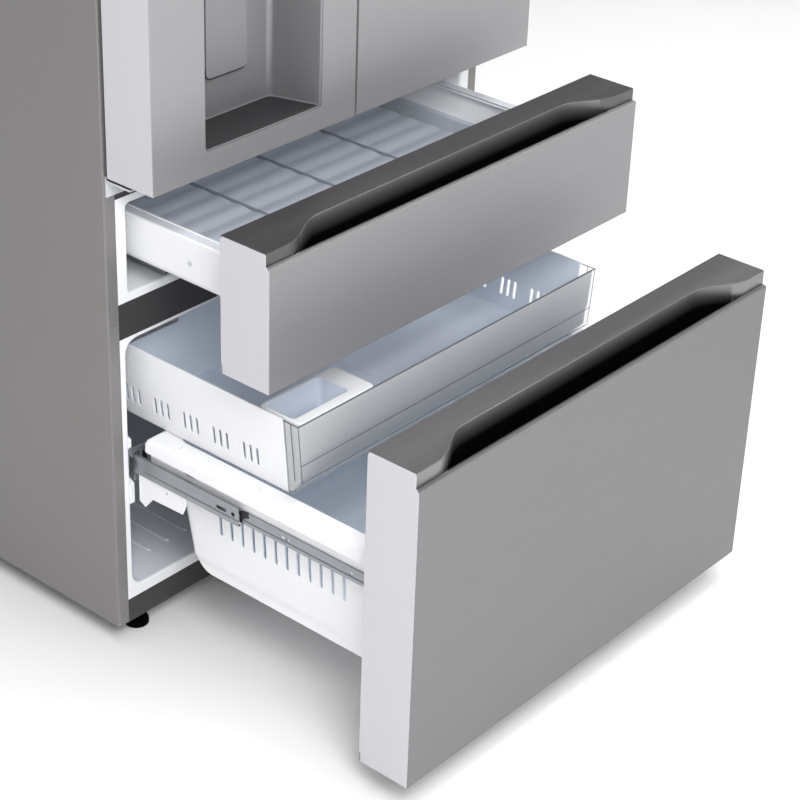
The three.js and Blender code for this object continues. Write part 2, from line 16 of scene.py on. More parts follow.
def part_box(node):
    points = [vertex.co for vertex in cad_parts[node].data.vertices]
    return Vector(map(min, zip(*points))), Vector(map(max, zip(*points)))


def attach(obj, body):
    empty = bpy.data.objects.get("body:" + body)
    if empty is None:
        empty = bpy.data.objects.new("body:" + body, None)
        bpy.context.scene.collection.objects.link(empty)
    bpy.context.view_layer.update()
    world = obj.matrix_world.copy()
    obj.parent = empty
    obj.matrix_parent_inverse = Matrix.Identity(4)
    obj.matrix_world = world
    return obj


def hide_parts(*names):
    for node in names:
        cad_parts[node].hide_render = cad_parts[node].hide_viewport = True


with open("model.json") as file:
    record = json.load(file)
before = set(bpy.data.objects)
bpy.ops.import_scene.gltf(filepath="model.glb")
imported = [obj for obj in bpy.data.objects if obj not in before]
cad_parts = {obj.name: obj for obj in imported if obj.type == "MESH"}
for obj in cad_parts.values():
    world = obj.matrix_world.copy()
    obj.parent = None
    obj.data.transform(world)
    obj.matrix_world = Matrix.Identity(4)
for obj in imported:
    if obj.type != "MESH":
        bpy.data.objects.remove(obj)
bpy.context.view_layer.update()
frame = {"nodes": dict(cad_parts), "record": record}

MM = 0.001
SIDES = (("left", -1), ("right", 1))


# ---------------- sizes from the frame
def node_box(name):
    """The lowest and highest corner of a CAD node, in millimetres."""
    low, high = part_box(name)
    return low / MM, high / MM


CASE = node_box("case_wrapper")
CASE_Y = CASE[0].y
HALF = CASE[1].x
DOOR = node_box("left_door_pan")
DOOR_FRONT = DOOR[0].y - CASE_Y
DOOR_BACK = DOOR[1].y - CASE_Y
MIDDLE_FRONT = node_box("middle_drawer_pan")
MIDDLE_CAP = node_box("middle_drawer_cap")
FREEZER_FRONT = node_box("freezer_drawer_pan")
FREEZER_CAP = node_box("freezer_drawer_cap")
BASKET_FRONT_GAP = 35.2
SLIDE_FRONT = 26

SHIFT = {
    "middle_drawer": MIDDLE_FRONT[0].y - DOOR_FRONT,
    "freezer_drawer": FREEZER_FRONT[0].y - DOOR_FRONT,
    "basket": node_box("basket_tub")[0].y - BASKET_FRONT_GAP,
    "freezer_slides": node_box("left_freezer_slide")[0].y - SLIDE_FRONT,
}


# ---------------- materials
def shader_nodes(name):
    material = bpy.data.materials.new(name)
    material.use_nodes = True
    tree = material.node_tree
    return material, tree, tree.nodes["Principled BSDF"]


def settle(node, **values):
    """Sets constant values on a node's sockets; a socket's name has _ for each space."""
    for socket, value in values.items():
        node.inputs[socket.replace("_", " ")].default_value = value
    return node


def add_node(tree, kind, **values):
    return settle(tree.nodes.new(f"ShaderNode{kind}"), **values)


def object_noise(tree, scale, detail=4.0, stretch=(1, 1, 1)):
    """A noise texture in the object's own space, optionally drawn out along an axis."""
    coordinates = add_node(tree, "TexCoord")
    mapping = add_node(tree, "Mapping", Scale=stretch)
    noise = add_node(tree, "TexNoise", Scale=scale, Detail=detail)
    tree.links.new(coordinates.outputs["Object"], mapping.inputs["Vector"])
    tree.links.new(mapping.outputs["Vector"], noise.inputs["Vector"])
    return noise.outputs["Fac"]


def spread(tree, value, low, high):
    """Maps the middle of a noise to the range low to high."""
    ramp = add_node(tree, "MapRange", From_Min=0.3, From_Max=0.7, To_Min=low, To_Max=high)
    tree.links.new(value, ramp.inputs["Value"])
    return ramp.outputs["Result"]


def blended(tree, share, first, second):
    """A colour between two colours, as the share says."""
    mix = add_node(tree, "Mix")
    mix.data_type = "RGBA"
    mix.inputs[6].default_value = [*first, 1]
    mix.inputs[7].default_value = [*second, 1]
    tree.links.new(share, mix.inputs[0])
    return mix.outputs[2]


def tinted(tree, value, colour, change):
    """The colour, darker and lighter by a share as the noise says."""
    darker = [c * (1 - change) for c in colour]
    lighter = [min(1, c * (1 + change)) for c in colour]
    return blended(tree, value, darker, lighter)


def bump(tree, shader, value, depth):
    node = add_node(tree, "Bump", Strength=0.5, Distance=depth * MM)
    tree.links.new(value, node.inputs["Height"])
    tree.links.new(node.outputs["Normal"], shader.inputs["Normal"])


def arithmetic(tree, operation, value):
    """A maths node with its first input linked."""
    node = add_node(tree, "Math")
    node.operation = operation
    tree.links.new(value, node.inputs[0])
    return node


def surface(name, colour, roughness, metallic=0.0, scale=60, change=0.03, swing=0.05,
            depth=0.05, coat=0.0, shine=0.5):
    """A moulded, painted or bare metal surface whose noise varies its colour, gloss and relief."""
    material, tree, shader = shader_nodes(name)
    fine = object_noise(tree, scale)
    broad = object_noise(tree, 5, detail=2)
    gloss = spread(tree, fine, roughness - swing, roughness + swing)
    tree.links.new(tinted(tree, broad, colour, change), shader.inputs["Base Color"])
    tree.links.new(gloss, shader.inputs["Roughness"])
    settle(shader, Metallic=metallic, Coat_Weight=coat, Specular_IOR_Level=shine)
    bump(tree, shader, fine, depth)
    return material


def brushed(name, colour, roughness, change=0.05, metallic=1.0):
    """Sheet steel brushed along x: long fine scratches in its colour, gloss and relief."""
    material, tree, shader = shader_nodes(name)
    scratches = object_noise(tree, 900, detail=3, stretch=(0.012, 1, 1))
    bands = object_noise(tree, 120, detail=2, stretch=(0.02, 1, 1))
    both = arithmetic(tree, "ADD", scratches)
    tree.links.new(bands, both.inputs[1])
    half = arithmetic(tree, "MULTIPLY", both.outputs[0])
    half.inputs[1].default_value = 0.5
    gloss = spread(tree, scratches, roughness - 0.05, roughness + 0.07)
    tree.links.new(tinted(tree, half.outputs[0], colour, change), shader.inputs["Base Color"])
    tree.links.new(gloss, shader.inputs["Roughness"])
    settle(shader, Metallic=metallic, Anisotropic=0.5)
    bump(tree, shader, scratches, 0.02)
    return material


def clear(name, colour, body, roughness):
    """Thin clear plastic: mostly see-through, with a glossy skin and a share of milky body."""
    material, tree, shader = shader_nodes(name)
    noise = object_noise(tree, 40)
    settle(shader, Base_Color=[*colour, 1])
    gloss = spread(tree, noise, roughness, roughness + 0.08)
    tree.links.new(gloss, shader.inputs["Roughness"])
    bump(tree, shader, noise, 0.03)
    through = add_node(tree, "BsdfTransparent", Color=[0.99, 0.993, 0.996, 1])
    edge = add_node(tree, "Fresnel", IOR=1.35)
    share = arithmetic(tree, "ADD", edge.outputs["Fac"])
    share.use_clamp = True
    share.inputs[1].default_value = body
    mix = add_node(tree, "MixShader")
    output = tree.nodes["Material Output"]
    tree.links.new(share.outputs[0], mix.inputs["Fac"])
    tree.links.new(through.outputs["BSDF"], mix.inputs[1])
    tree.links.new(shader.outputs["BSDF"], mix.inputs[2])
    tree.links.new(mix.outputs["Shader"], output.inputs["Surface"])
    return material


def painted_shade(name, colour):
    """Plastic painted a darker, bluer colour: painted shade that stands in for the shade of the walls round
    it.
    """
    return surface(name, colour, 0.4, scale=300, change=0.02)


def shaded_front_steel(name, level):
    """The brushed steel of a front, at its own level of grey: a lower level is painted shade for the lesser
    light on that front.
    """
    return brushed(name, (level, level * 0.992, level * 1.02), 0.42, change=0.035, metallic=0.5)


def fading_painted_shade(name, top, reach, grey):
    """Dark metal that fades to black below the height top, over a reach in millimetres: painted shade for
    the shade that deepens down a pocket.
    """
    material, tree, shader = shader_nodes(name)
    place = add_node(tree, "TexCoord")
    split = add_node(tree, "SeparateXYZ")
    fall = add_node(tree, "MapRange", From_Min=(top - reach) * MM, From_Max=top * MM)
    tree.links.new(place.outputs["Object"], split.inputs["Vector"])
    tree.links.new(split.outputs["Z"], fall.inputs["Value"])
    metal = (grey, grey * 0.98, grey)
    shade = blended(tree, fall.outputs["Result"], (0.006, 0.006, 0.007), metal)
    tree.links.new(shade, shader.inputs["Base Color"])
    grain = object_noise(tree, 500, stretch=(0.05, 1, 1))
    tree.links.new(spread(tree, grain, 0.36, 0.46), shader.inputs["Roughness"])
    settle(shader, Metallic=0.7)
    bump(tree, shader, grain, 0.01)
    return material


# All fronts are one steel; the middle and freezer fronts are painted a darker grey, as painted shade for
# the lesser light on the lower fronts.
DOOR_STEEL = shaded_front_steel("door_steel", 0.36)
MIDDLE_STEEL_PAINTED_SHADE = shaded_front_steel("middle_steel_painted_shade", 0.315)
FREEZER_STEEL_PAINTED_SHADE = shaded_front_steel("freezer_steel_painted_shade", 0.205)
SIDE_STEEL = surface("side_panel_coat", (0.57, 0.56, 0.59), 0.5, scale=420, change=0.01)
# The middle cap is the same cap metal as the freezer's, painted darker: painted shade.
MIDDLE_CAP_PAINTED_SHADE = brushed("middle_cap_metal_painted_shade", (0.16, 0.157, 0.16), 0.36, change=0.03, metallic=0.85)
CAP_METAL = brushed("cap_metal", (0.27, 0.263, 0.268), 0.36, change=0.03, metallic=0.85)
CASE_PAINT = surface("case_paint", (0.25, 0.24, 0.235), 0.5, 0.35, scale=700, depth=0.08)
GALVANISED = surface("galvanised", (0.42, 0.43, 0.44), 0.5, 0.8, scale=90, change=0.12)
DARK_TRIM = surface("dark_trim", (0.042, 0.040, 0.041), 0.55, scale=500)
# The white insides of the tray, basket and tub are painted bluish grey: painted shade for the shade inside
# the hollows.
TRAY_PAINTED_SHADE = painted_shade("tray_interior_painted_shade", (0.56, 0.60, 0.67))
BASKET_PAINTED_SHADE = painted_shade("basket_interior_painted_shade", (0.732, 0.793, 0.891))
TUB_PAINTED_SHADE = painted_shade("tub_interior_painted_shade", (0.80, 0.86, 0.94))
# Grey-blue of the tray's rim: painted shade on the white tray plastic.
RIM_PAINTED_SHADE = painted_shade("tray_rim_painted_shade", (0.62, 0.645, 0.69))
# Dark grey of the tray's gutters: painted shade for the grooves.
GUTTER_PAINTED_SHADE = painted_shade("tray_gutter_painted_shade", (0.26, 0.28, 0.33))
WHITE = surface("white_plastic", (0.885, 0.89, 0.905), 0.36, scale=300, change=0.012)
LINER = surface("liner_plastic", (0.86, 0.87, 0.89), 0.42, scale=160, change=0.02, depth=0.1)
# The liner's white plastic painted darker and bluer, for the freezer's inside faces and floor ribs: painted
# shade.
SHADED = surface("liner_interior_painted_shade", (0.76, 0.79, 0.85), 0.42, scale=160, change=0.02, depth=0.1)
SILVER = surface("silver_plastic", (0.36, 0.355, 0.37), 0.38, 0.7, scale=250, change=0.01,
                 swing=0.02, depth=0.008)
BLACK = surface("black_plastic", (0.014, 0.014, 0.016), 0.5, scale=300)
RUBBER = surface("gasket_rubber", (0.24, 0.24, 0.25), 0.65, scale=250, depth=0.1)
FOOT_RUBBER = surface("foot_rubber", (0.002, 0.002, 0.003), 0.8, scale=250, shine=0.03)
ZINC_BRIGHT = surface("hinge_zinc", (0.72, 0.73, 0.75), 0.4, 0.3, scale=220)
ZINC = surface("zinc_steel", (0.34, 0.355, 0.38), 0.34, 0.75, scale=140, change=0.06, depth=0.02)
ENAMEL = surface("compressor_black", (0.02, 0.02, 0.022), 0.35, scale=60, coat=0.3)
DARK_FLOOR = surface("alcove_floor", (0.03, 0.03, 0.032), 0.6, scale=350, depth=0.1)
CLEAR = clear("clear_plastic", (0.97, 0.975, 0.985), 0.05, 0.12)
# Dark grey for the clear plastic's edges: painted shade.
CLEAR_EDGE_PAINTED_SHADE = clear("clear_edge_painted_shade", (0.16, 0.18, 0.22), 0.25, 0.6)
FROSTED = clear("frosted_plastic", (0.90, 0.915, 0.935), 0.8, 0.5)
GLASS = clear("shelf_glass", (0.75, 0.82, 0.82), 0.08, 0.04)

CAD_FINISH = {
    "case_paint": CASE_PAINT, "galvanised": GALVANISED, "dark_trim": DARK_TRIM,
    "stainless": DOOR_STEEL, "cap_metal": CAP_METAL, "white_plastic": WHITE,
    "clear_plastic": CLEAR, "shelf_glass": GLASS, "silver_plastic": SILVER,
    "black_plastic": BLACK, "zinc_steel": ZINC, "compressor_black": ENAMEL,
}


# ---------------- shapes: (vertices, faces)
def merged(*shapes):
    vertices, faces = [], []
    for points, polygons in shapes:
        start = len(vertices)
        vertices += points
        faces += [[i + start for i in polygon] for polygon in polygons]
    return vertices, faces


def loft(rings, joined=False):
    """A closed skin through rings of as many points, capped at its ends or joined end to end."""
    count = len(rings[0])
    vertices = [point for ring in rings for point in ring]
    faces = []
    for level in range(len(rings) - (not joined)):
        low, high = level * count, (level + 1) % len(rings) * count
        for i in range(count):
            j = (i + 1) % count
            faces.append([low + i, low + j, high + j, high + i])
    if not joined:
        last = (len(rings) - 1) * count
        faces += [list(range(count))[::-1], [last + i for i in range(count)]]
    return vertices, faces


PLACES = {
    "x": lambda u, v, w: (w, u, v),
    "y": lambda u, v, w: (u, w, v),
    "z": lambda u, v, w: (u, v, w),
}


def prism(outline, axis, low, high):
    """A flat outline pushed along an axis. Its points are (y, z), (x, z) or (x, y)."""
    return loft([[PLACES[axis](u, v, w) for u, v in outline] for w in (low, high)])


def box(x0, x1, y0, y1, z0, z1):
    return prism([(x0, y0), (x1, y0), (x1, y1), (x0, y1)], "z", z0, z1)


def side_box(side, near, far, y0, y1, z0, z1):
    """A box on one side of the middle, given by its distances from the middle."""
    x0, x1 = sorted((side * near, side * far))
    return box(x0, x1, y0, y1, z0, z1)


def rounded(u0, u1, v0, v1, radius, steps=6):
    """A rectangle with round corners, as points in order."""
    corners = ((u1, v0, -90), (u1, v1, 0), (u0, v1, 90), (u0, v0, 180))
    points = []
    for u, v, start in corners:
        cu = u - radius if u == u1 else u + radius
        cv = v - radius if v == v1 else v + radius
        for i in range(steps + 1):
            angle = math.radians(start + 90 * i / steps)
            points.append((cu + radius * math.cos(angle), cv + radius * math.sin(angle)))
    return points


def slab(outline, axis, low, high, edge, steps=3):
    """A prism whose two rims are rounded off by pulling the outline in towards its middle."""
    middle = [sum(p[k] for p in outline) / len(outline) for k in (0, 1)]
    place = PLACES[axis]

    def ring(w, inset):
        return [
            place(*[c - math.copysign(min(inset, abs(c - m)), c - m) for c, m in zip(p, middle)], w)
            for p in outline
        ]

    turns = [math.radians(90 * i / steps) for i in range(steps + 1)]
    start = [ring(low + edge * (1 - math.cos(a)), edge * (1 - math.sin(a))) for a in turns]
    end = [ring(high - edge * (1 - math.sin(a)), edge * (1 - math.cos(a))) for a in turns]
    return loft(start + end)


def lathe(profile, centre, axis="z", sides=32):
    """A round body from (radius, height) pairs about an axis through the centre."""
    turn = {"z": (0, 1, 2), "x": (1, 2, 0), "y": (2, 0, 1)}[axis]
    rings = []
    for radius, height in profile:
        ring = []
        for i in range(sides):
            angle = 2 * math.pi * i / sides
            local = (radius * math.cos(angle), radius * math.sin(angle), height)
            point = [0, 0, 0]
            for source, target in enumerate(turn):
                point[target] = local[source]
            ring.append(tuple(c + p for c, p in zip(centre, point)))
        rings.append(ring)
    return loft(rings)


# ---------------- pieces
SMOOTH_ANGLE = math.radians(48)
BEVEL_ANGLE = math.radians(32)


def mesh_object(name, shape, shift):
    mesh = bpy.data.meshes.new(name)
    points = [(x * MM, (y + shift) * MM, z * MM) for x, y, z in shape[0]]
    mesh.from_pydata(points, [], shape[1])
    thing = bpy.data.objects.new(name, mesh)
    bpy.context.scene.collection.objects.link(thing)
    clean = bmesh.new()
    clean.from_mesh(mesh)
    bmesh.ops.recalc_face_normals(clean, faces=clean.faces)
    clean.to_mesh(mesh)
    clean.free()
    return thing


def apply_modifiers(thing):
    graph = bpy.context.evaluated_depsgraph_get()
    thing.data = bpy.data.meshes.new_from_object(thing.evaluated_get(graph))
    thing.modifiers.clear()


def carve(thing, tools, shift, operation="DIFFERENCE"):
    """Cuts the tool shapes out of a piece, or joins them to it."""
    tool = mesh_object("carving_tool", merged(*tools), shift)
    step = thing.modifiers.new("carve", "BOOLEAN")
    step.object = tool
    step.operation = operation
    step.solver = "EXACT"
    step.use_self = True
    apply_modifiers(thing)
    bpy.data.objects.remove(tool)


def ease_edges(thing, width):
    """Rounds every sharp edge and keeps the flat faces shaded flat."""
    if width:
        rim = thing.modifiers.new("edges", "BEVEL")
        rim.width = width * MM
        rim.segments = 2
        rim.limit_method = "ANGLE"
        rim.angle_limit = BEVEL_ANGLE
        rim.use_clamp_overlap = True
    normals = thing.modifiers.new("normals", "WEIGHTED_NORMAL")
    normals.keep_sharp = True


def piece(name, body, shape, material, edge=0, cuts=(), joins=(), stands_for=(), inner=None):
    """A finished piece that rides on a body. inner is (material, test) for its shaded faces."""
    shift = SHIFT.get(body, CASE_Y)
    thing = mesh_object(name, shape, shift)
    if joins:
        carve(thing, joins, shift, "UNION")
    if cuts:
        carve(thing, cuts, shift)
    thing.data.materials.clear()
    thing.data.materials.append(material)
    if inner:
        thing.data.materials.append(inner[0])
        for face in thing.data.polygons:
            x, y, z = face.center / MM
            face.material_index = int(inner[1](x, y - shift, z, face.normal))
    thing.data.shade_smooth()
    thing.data.set_sharp_from_angle(angle=SMOOTH_ANGLE)
    ease_edges(thing, edge)
    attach(thing, body)
    if stands_for:
        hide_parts(*stands_for)
    return thing


def screw(name, body, x, y, z, axis="y", out=-1, radius=4.5):
    """A cross-recess pan-head screw whose head stands out of a face."""
    profile = [
        (radius, 0), (radius, 0.8), (radius * 0.85, 1.8), (radius * 0.45, 2.4), (0.4, 2.5),
    ]
    head = lathe([(r, out * h) for r, h in profile], (x, y, z), axis, 24)
    arm = radius * 0.5
    reach = {"x": (3, arm, 0.6), "y": (arm, 3, 0.6), "z": (arm, 0.6, 3)}[axis]
    cross = {"x": (3, 0.6, arm), "y": (0.6, 3, arm), "z": (0.6, arm, 3)}[axis]
    top = [x, y, z]
    top["xyz".index(axis)] += out * 4.4
    cuts = [
        box(top[0] - a, top[0] + a, top[1] - b, top[1] + b, top[2] - c, top[2] + c)
        for a, b, c in (reach, cross)
    ]
    return piece(name, body, head, ZINC, cuts=cuts)


# ---------------- case
FOOT = CASE[0].z
CASE_TOP = CASE[1].z
CASE_DEPTH = CASE[1].y - CASE_Y
FLANGE = 431
FRESH_TOP = 1722


def case_shell():
    """The painted sheet round the sides and top, turned in at the front as a narrow flange."""
    def ring(y, inset, radius):
        return [(x, y, z) for x, z in rounded(
            -HALF + inset, HALF - inset, FOOT + min(inset, 1), CASE_TOP - inset, radius)]

    def mouth(y):
        return [(x, y, z) for x, z in rounded(-FLANGE, FLANGE, FOOT + 1.2, FRESH_TOP, 0.5)]

    turns = [math.radians(90 * i / 4) for i in range(5)]
    corner = [ring(3 * (1 - math.sin(a)), 3 * (1 - math.cos(a)), 1) for a in turns]
    skin = [ring(CASE_DEPTH, 0, 1), *corner, mouth(0), mouth(1.2), ring(1.2, 2, 1)]
    shape = loft([*skin, ring(CASE_DEPTH, 2, 1)], joined=True)
    piece("case_shell", "cabinet", shape, CASE_PAINT, stands_for=["case_wrapper"])


def liner(name, frame_z, inner_z, half, depth, radius, knee=None, inner=None, mouth_high=None):
    """A compartment's moulded liner: a flat flange, a rolled mouth and round corners."""
    low, high = inner_z
    mouth_high = mouth_high or high

    def ring(y, grow, bottom=None, top=high):
        z0 = low if bottom is None else bottom
        return [(x, y, z) for x, z in rounded(-half - grow, half + grow, z0 - grow, top + grow, radius)]

    def flange(y):
        return [(x, y, z) for x, z in rounded(-FLANGE + 0.3, FLANGE - 0.3, *frame_z, 0.5)]

    deeper = [(knee - 20, low), (knee, low + 24), (knee + 4, 290)] if knee else []
    end_low = 360 if knee else low
    inside = [ring(60, 0)] + [ring(y, 0, z) for y, z in deeper] + [ring(depth, 0, end_low)]
    outside = [ring(60, 2.4)] + [ring(y - 3, 2.4, z) for y, z in deeper]
    outside += [ring(depth + 2.4, 2.4, end_low)]
    roll = [
        ring(4 * (1 - math.cos(a)), 4 * (1 - math.sin(a)), top=mouth_high)
        for a in (math.radians(15 * i) for i in range(7))
    ]
    lip = ring(9, 2.4, top=mouth_high)
    shape = loft([*outside[::-1], lip, flange(2.5), flange(0), *roll, *inside])
    return piece(f"{name}_moulding", "cabinet", shape, LINER,
                 stands_for=[f"{name}_liner"], inner=inner)


def case_fittings():
    """Screws along the front flange, the back and the machine bay, and the back's pressed field."""
    for side_name, side in SIDES:
        for z in (FOOT + 16, 612, 852, 1737):
            screw(f"{side_name}_flange_screw_{z:.0f}", "cabinet", side * 441, 0, z, radius=3.2)
    back = node_box("case_back")[1].y - CASE_Y
    for i in range(5):
        for x in (-436, 436):
            screw(f"back_screw_{i}_{x + 436}", "cabinet", x, back, 300 + i * 355, out=1)
    rear = node_box("machine_cover")[1].y - CASE_Y
    for i in range(4):
        screw(f"bay_screw_{i}", "cabinet", -420 + i * 280, rear, 250, out=1)
    rib = slab(rounded(-390, 390, 320, 1690, 30), "y", back - 0.5, back + 3.5, 2)
    field = slab(rounded(-375, 375, 335, 1675, 22), "y", back + 2, back + 8, 1)
    piece("back_swage", "cabinet", rib, GALVANISED, cuts=[field])


def liner_ribs():
    """Low ribs that run back along the freezer's floor."""
    for name, side in SIDES:
        for i in range(3):
            x = side * (234 + 44 * i)
            rib = slab(rounded(x - 4, x + 4, 60, 440, 3.9, 4), "z", 101, 104.5, 1.6)
            piece(f"{name}_floor_rib_{i}", "cabinet", rib, SHADED)


case_shell()
liner_ribs()
# The freezer liner's faces behind its flange get SHADED, the painted shade.
liner("freezer", (81.3, 582.7), (102, 563), 418, 640, 27, knee=466, mouth_high=575,
      inner=(SHADED, lambda x, y, z, normal: y > 12))
liner("middle", (646.3, 828.7), (660, 815), 408, 560, 9)
liner("fresh_food", (875.3, 1721.7), (890, 1705), 404, 600, 40)
case_fittings()


# ---------------- fronts
SPLIT = 2.5
EDGE = 1.4
WALL = 1.5


def pan_shape(x0, x1, z0, z1, front=DOOR_FRONT, back=DOOR_BACK):
    """A deep-drawn steel pan, open at the back, with a round edge about its face."""
    def ring(y, inset, corner=1.2):
        return [(x, y, z) for x, z in rounded(x0 + inset, x1 - inset, z0 + inset, z1 - inset, corner, 3)]

    turns = [math.radians(90 * i / 4) for i in range(5)]
    face = [ring(front + EDGE * (1 - math.sin(a)), EDGE * (1 - math.cos(a))) for a in turns]
    lining = [ring(back, WALL), ring(front + EDGE, WALL), ring(front + WALL, EDGE)]
    return loft([*face[::-1], ring(back, 0), *lining])


GRIP = {"low": 1130, "high": 1560, "slot": 26, "hook": 52, "skin": 22, "deep": 60, "wall": 3}
ALCOVE = {"left": -344, "right": -83, "low": 915, "high": 1290, "back": -24.5, "lean": 30}


def grip_tools(side, grow):
    """The finger grip at the doors' meeting edges: a slot from the front and a hook to its side."""
    g = GRIP
    low, high = g["low"] - grow, g["high"] + grow
    back = DOOR_FRONT + g["deep"] + grow
    near = SPLIT - 10 if grow == 0 else SPLIT + 0.1
    return [
        side_box(side, near, g["slot"] + grow, DOOR_FRONT - 1 + 3 * (grow > 0), back, low, high),
        side_box(side, near, g["hook"] + grow, DOOR_FRONT + g["skin"] - grow, back, low, high),
    ]


def door(side_name, side):
    x0, x1 = sorted((side * SPLIT, side * HALF))
    cuts = grip_tools(side, 0)
    if side < 0:
        a = ALCOVE
        cuts.append(prism(rounded(a["left"], a["right"], a["low"], a["high"], 5), "y", -130, -90))
    body = f"{side_name}_door"
    piece(f"{side_name}_door_skin", body, pan_shape(x0, x1, DOOR[0].z, DOOR[1].z), DOOR_STEEL,
          edge=0.5, cuts=cuts, stands_for=[f"{side_name}_door_pan"])
    low, high = DOOR[0].z + 0.6, DOOR[1].z - 0.6
    side_plate(f"{side_name}_door_side_plate", body, side, [
        (DOOR_FRONT + 1.2, low), (DOOR_BACK, low), (DOOR_BACK, high), (DOOR_FRONT + 1.2, high),
    ])
    outer, hook = grip_tools(side, GRIP["wall"])
    piece(f"{side_name}_grip_liner", body, outer, BLACK, edge=0.4,
          joins=[hook], cuts=grip_tools(side, 0))


def gasket(name, body, x0, x1, z0, z1):
    """The magnetic seal behind a front: a hollow cushion with a bellows fold, run round a rectangle."""
    profile = [(0, 0), (0, 14), (3, 15), (4.2, 12), (7, 12), (9.6, 13), (9.6, 1), (7, 2), (4.2, 2), (3, -1)]
    rings = []
    for depth, inset in profile:
        rings.append([(x, DOOR_BACK + 0.2 + depth, z) for x, z in rounded(
            x0 + inset, x1 - inset, z0 + inset, z1 - inset, 6, 3)])
    piece(name, body, loft(rings, joined=True), RUBBER)


def side_plate(name, body, side, outline):
    """The pale coated plate on the side of a front. Its outline is (y, z)."""
    reach = sorted((side * (HALF - 0.8), side * (HALF + 0.3)))
    piece(name, body, prism(outline, "x", *reach), SIDE_STEEL, edge=0.3)


def drawer_front(name, pan, cap, steel, metal, tab=None):
    """A drawer's front: steel face, pale side plates, grey cap and the finger trough under it."""
    body = f"{name}_drawer"
    bottom, top, crown = pan[0].z, pan[1].z, cap[1].z
    mouth = box(-HALF + 3, HALF - 3, DOOR_FRONT + 10, DOOR_BACK + 2, top - 4, top + 2)
    hem = box(-HALF + 1, HALF - 1, DOOR_FRONT + 3, DOOR_FRONT + 4, top - 0.9, top + 1)
    joins = [box(*tab, DOOR_FRONT + 6, DOOR_FRONT + 13.5, top - 2.2, top)] if tab else []
    piece(f"{name}_drawer_face", body, pan_shape(-HALF, HALF, bottom, top), steel,
          edge=0.4, cuts=[mouth, hem], joins=joins, stands_for=[f"{name}_drawer_pan"])
    for side_name, side in SIDES:
        outline = [
            (DOOR_FRONT + 1.2, bottom + 0.6), (DOOR_BACK - 3, bottom + 0.6), (DOOR_BACK - 3, bottom + 16),
            (DOOR_BACK, bottom + 20), (DOOR_BACK, crown - 6), (DOOR_BACK - 4, crown - 1),
            (DOOR_FRONT + 10, crown - 1), (DOOR_FRONT + 8, crown - 3), (DOOR_FRONT + 8, top + 2),
            (DOOR_FRONT + 1.2, top - 4),
        ]
        side_plate(f"{name}_{side_name}_side_plate", body, side, outline)
    drawer_cap(name, body, top, crown, metal)
    gasket(f"{name}_drawer_gasket", body, -HALF + 14, HALF - 14, bottom + 14, top - 6)


POCKET = {"set": 8, "deep": 48, "down": 62, "flat": 300, "end": 407, "wall": 2}


def cap_edge(steps=24):
    """Half of the cap's front edge: forward at the end, then an S-curve back to the middle."""
    p = POCKET
    edge = []
    for i in range(steps + 1):
        share = i / steps
        ease = (1 - math.cos(math.pi * share)) / 2
        edge.append((
            p["end"] - (p["end"] - p["flat"]) * share,
            DOOR_FRONT + p["set"] + (p["deep"] - p["set"]) * ease,
        ))
    return edge


def both_halves(half):
    return [(-x, y) for x, y in half] + half[::-1]


def drawer_cap(name, body, top, crown, metal):
    """The grey cap with its S-curved edge and skirt, and the black trough behind the face."""
    corner = [(HALF - 0.9, DOOR_FRONT + POCKET["set"])]
    outline = both_halves(corner + cap_edge())
    outline += [(HALF - 0.9, DOOR_BACK), (-HALF + 0.9, DOOR_BACK)]
    front = DOOR_FRONT + 10.3
    wall = [(x, y) for x, y in cap_edge() if y > front + 1]
    face = both_halves(wall)
    skirt = prism(face + [(x, y + 2) for x, y in face[::-1]], "z", top - POCKET["down"] + 3, crown - 6)

    # The pocket wall's faces get dark metal that fades to black downward: painted shade.
    def pocket_wall_painted_shade(x, y, z, normal):
        return normal.y < -0.3 and abs(normal.z) < 0.3 and abs(x) < 370

    piece(f"{name}_drawer_crown", body, prism(outline, "z", top + 0.3, crown), metal,
          edge=0.9, joins=[skirt], stands_for=[f"{name}_drawer_cap"],
          inner=(fading_painted_shade(f"{name}_pocket_wall_painted_shade", crown - 1, 34, 0.26), pocket_wall_painted_shade))

    def mouth(grow):
        curve = [(x + grow, y + grow) for x, y in cap_edge() if y > front + 4]
        return both_halves([(curve[0][0], front + 2 - grow)] + curve)

    floor = top - POCKET["down"]
    piece(f"{name}_drawer_trough", body, prism(mouth(5.2), "z", floor, top), BLACK,
          edge=0.3, cuts=[prism(mouth(3), "z", floor + 2, top + 1)])


for side_name, side in SIDES:
    door(side_name, side)
    x0, x1 = sorted((side * (SPLIT + 12), side * (HALF - 14)))
    gasket(f"{side_name}_door_gasket", f"{side_name}_door", x0, x1, DOOR[0].z + 14, DOOR[1].z - 14)
drawer_front("middle", MIDDLE_FRONT, MIDDLE_CAP, MIDDLE_STEEL_PAINTED_SHADE, MIDDLE_CAP_PAINTED_SHADE)
drawer_front("freezer", FREEZER_FRONT, FREEZER_CAP, FREEZER_STEEL_PAINTED_SHADE, CAP_METAL, tab=(-115, 78))


# ---------------- dispenser
def filleted(outline, radii, steps=6):
    """An outline with the given radius worked on each of its corners."""
    points = []
    count = len(outline)
    for i, radius in enumerate(radii):
        here = Vector(outline[i])
        before = (Vector(outline[i - 1]) - here).normalized()
        after = (Vector(outline[(i + 1) % count]) - here).normalized()
        if not radius:
            points.append(tuple(here))
            continue
        half = before.angle(after) / 2
        centre = here + (before + after).normalized() * radius / math.sin(half)
        start = here + before * radius / math.tan(half) - centre
        sweep = start.angle_signed(here + after * radius / math.tan(half) - centre)
        for k in range(steps + 1):
            turned = start.copy()
            turned.rotate(Matrix.Rotation(-sweep * k / steps, 2))
            points.append(tuple(centre + turned))
    return points


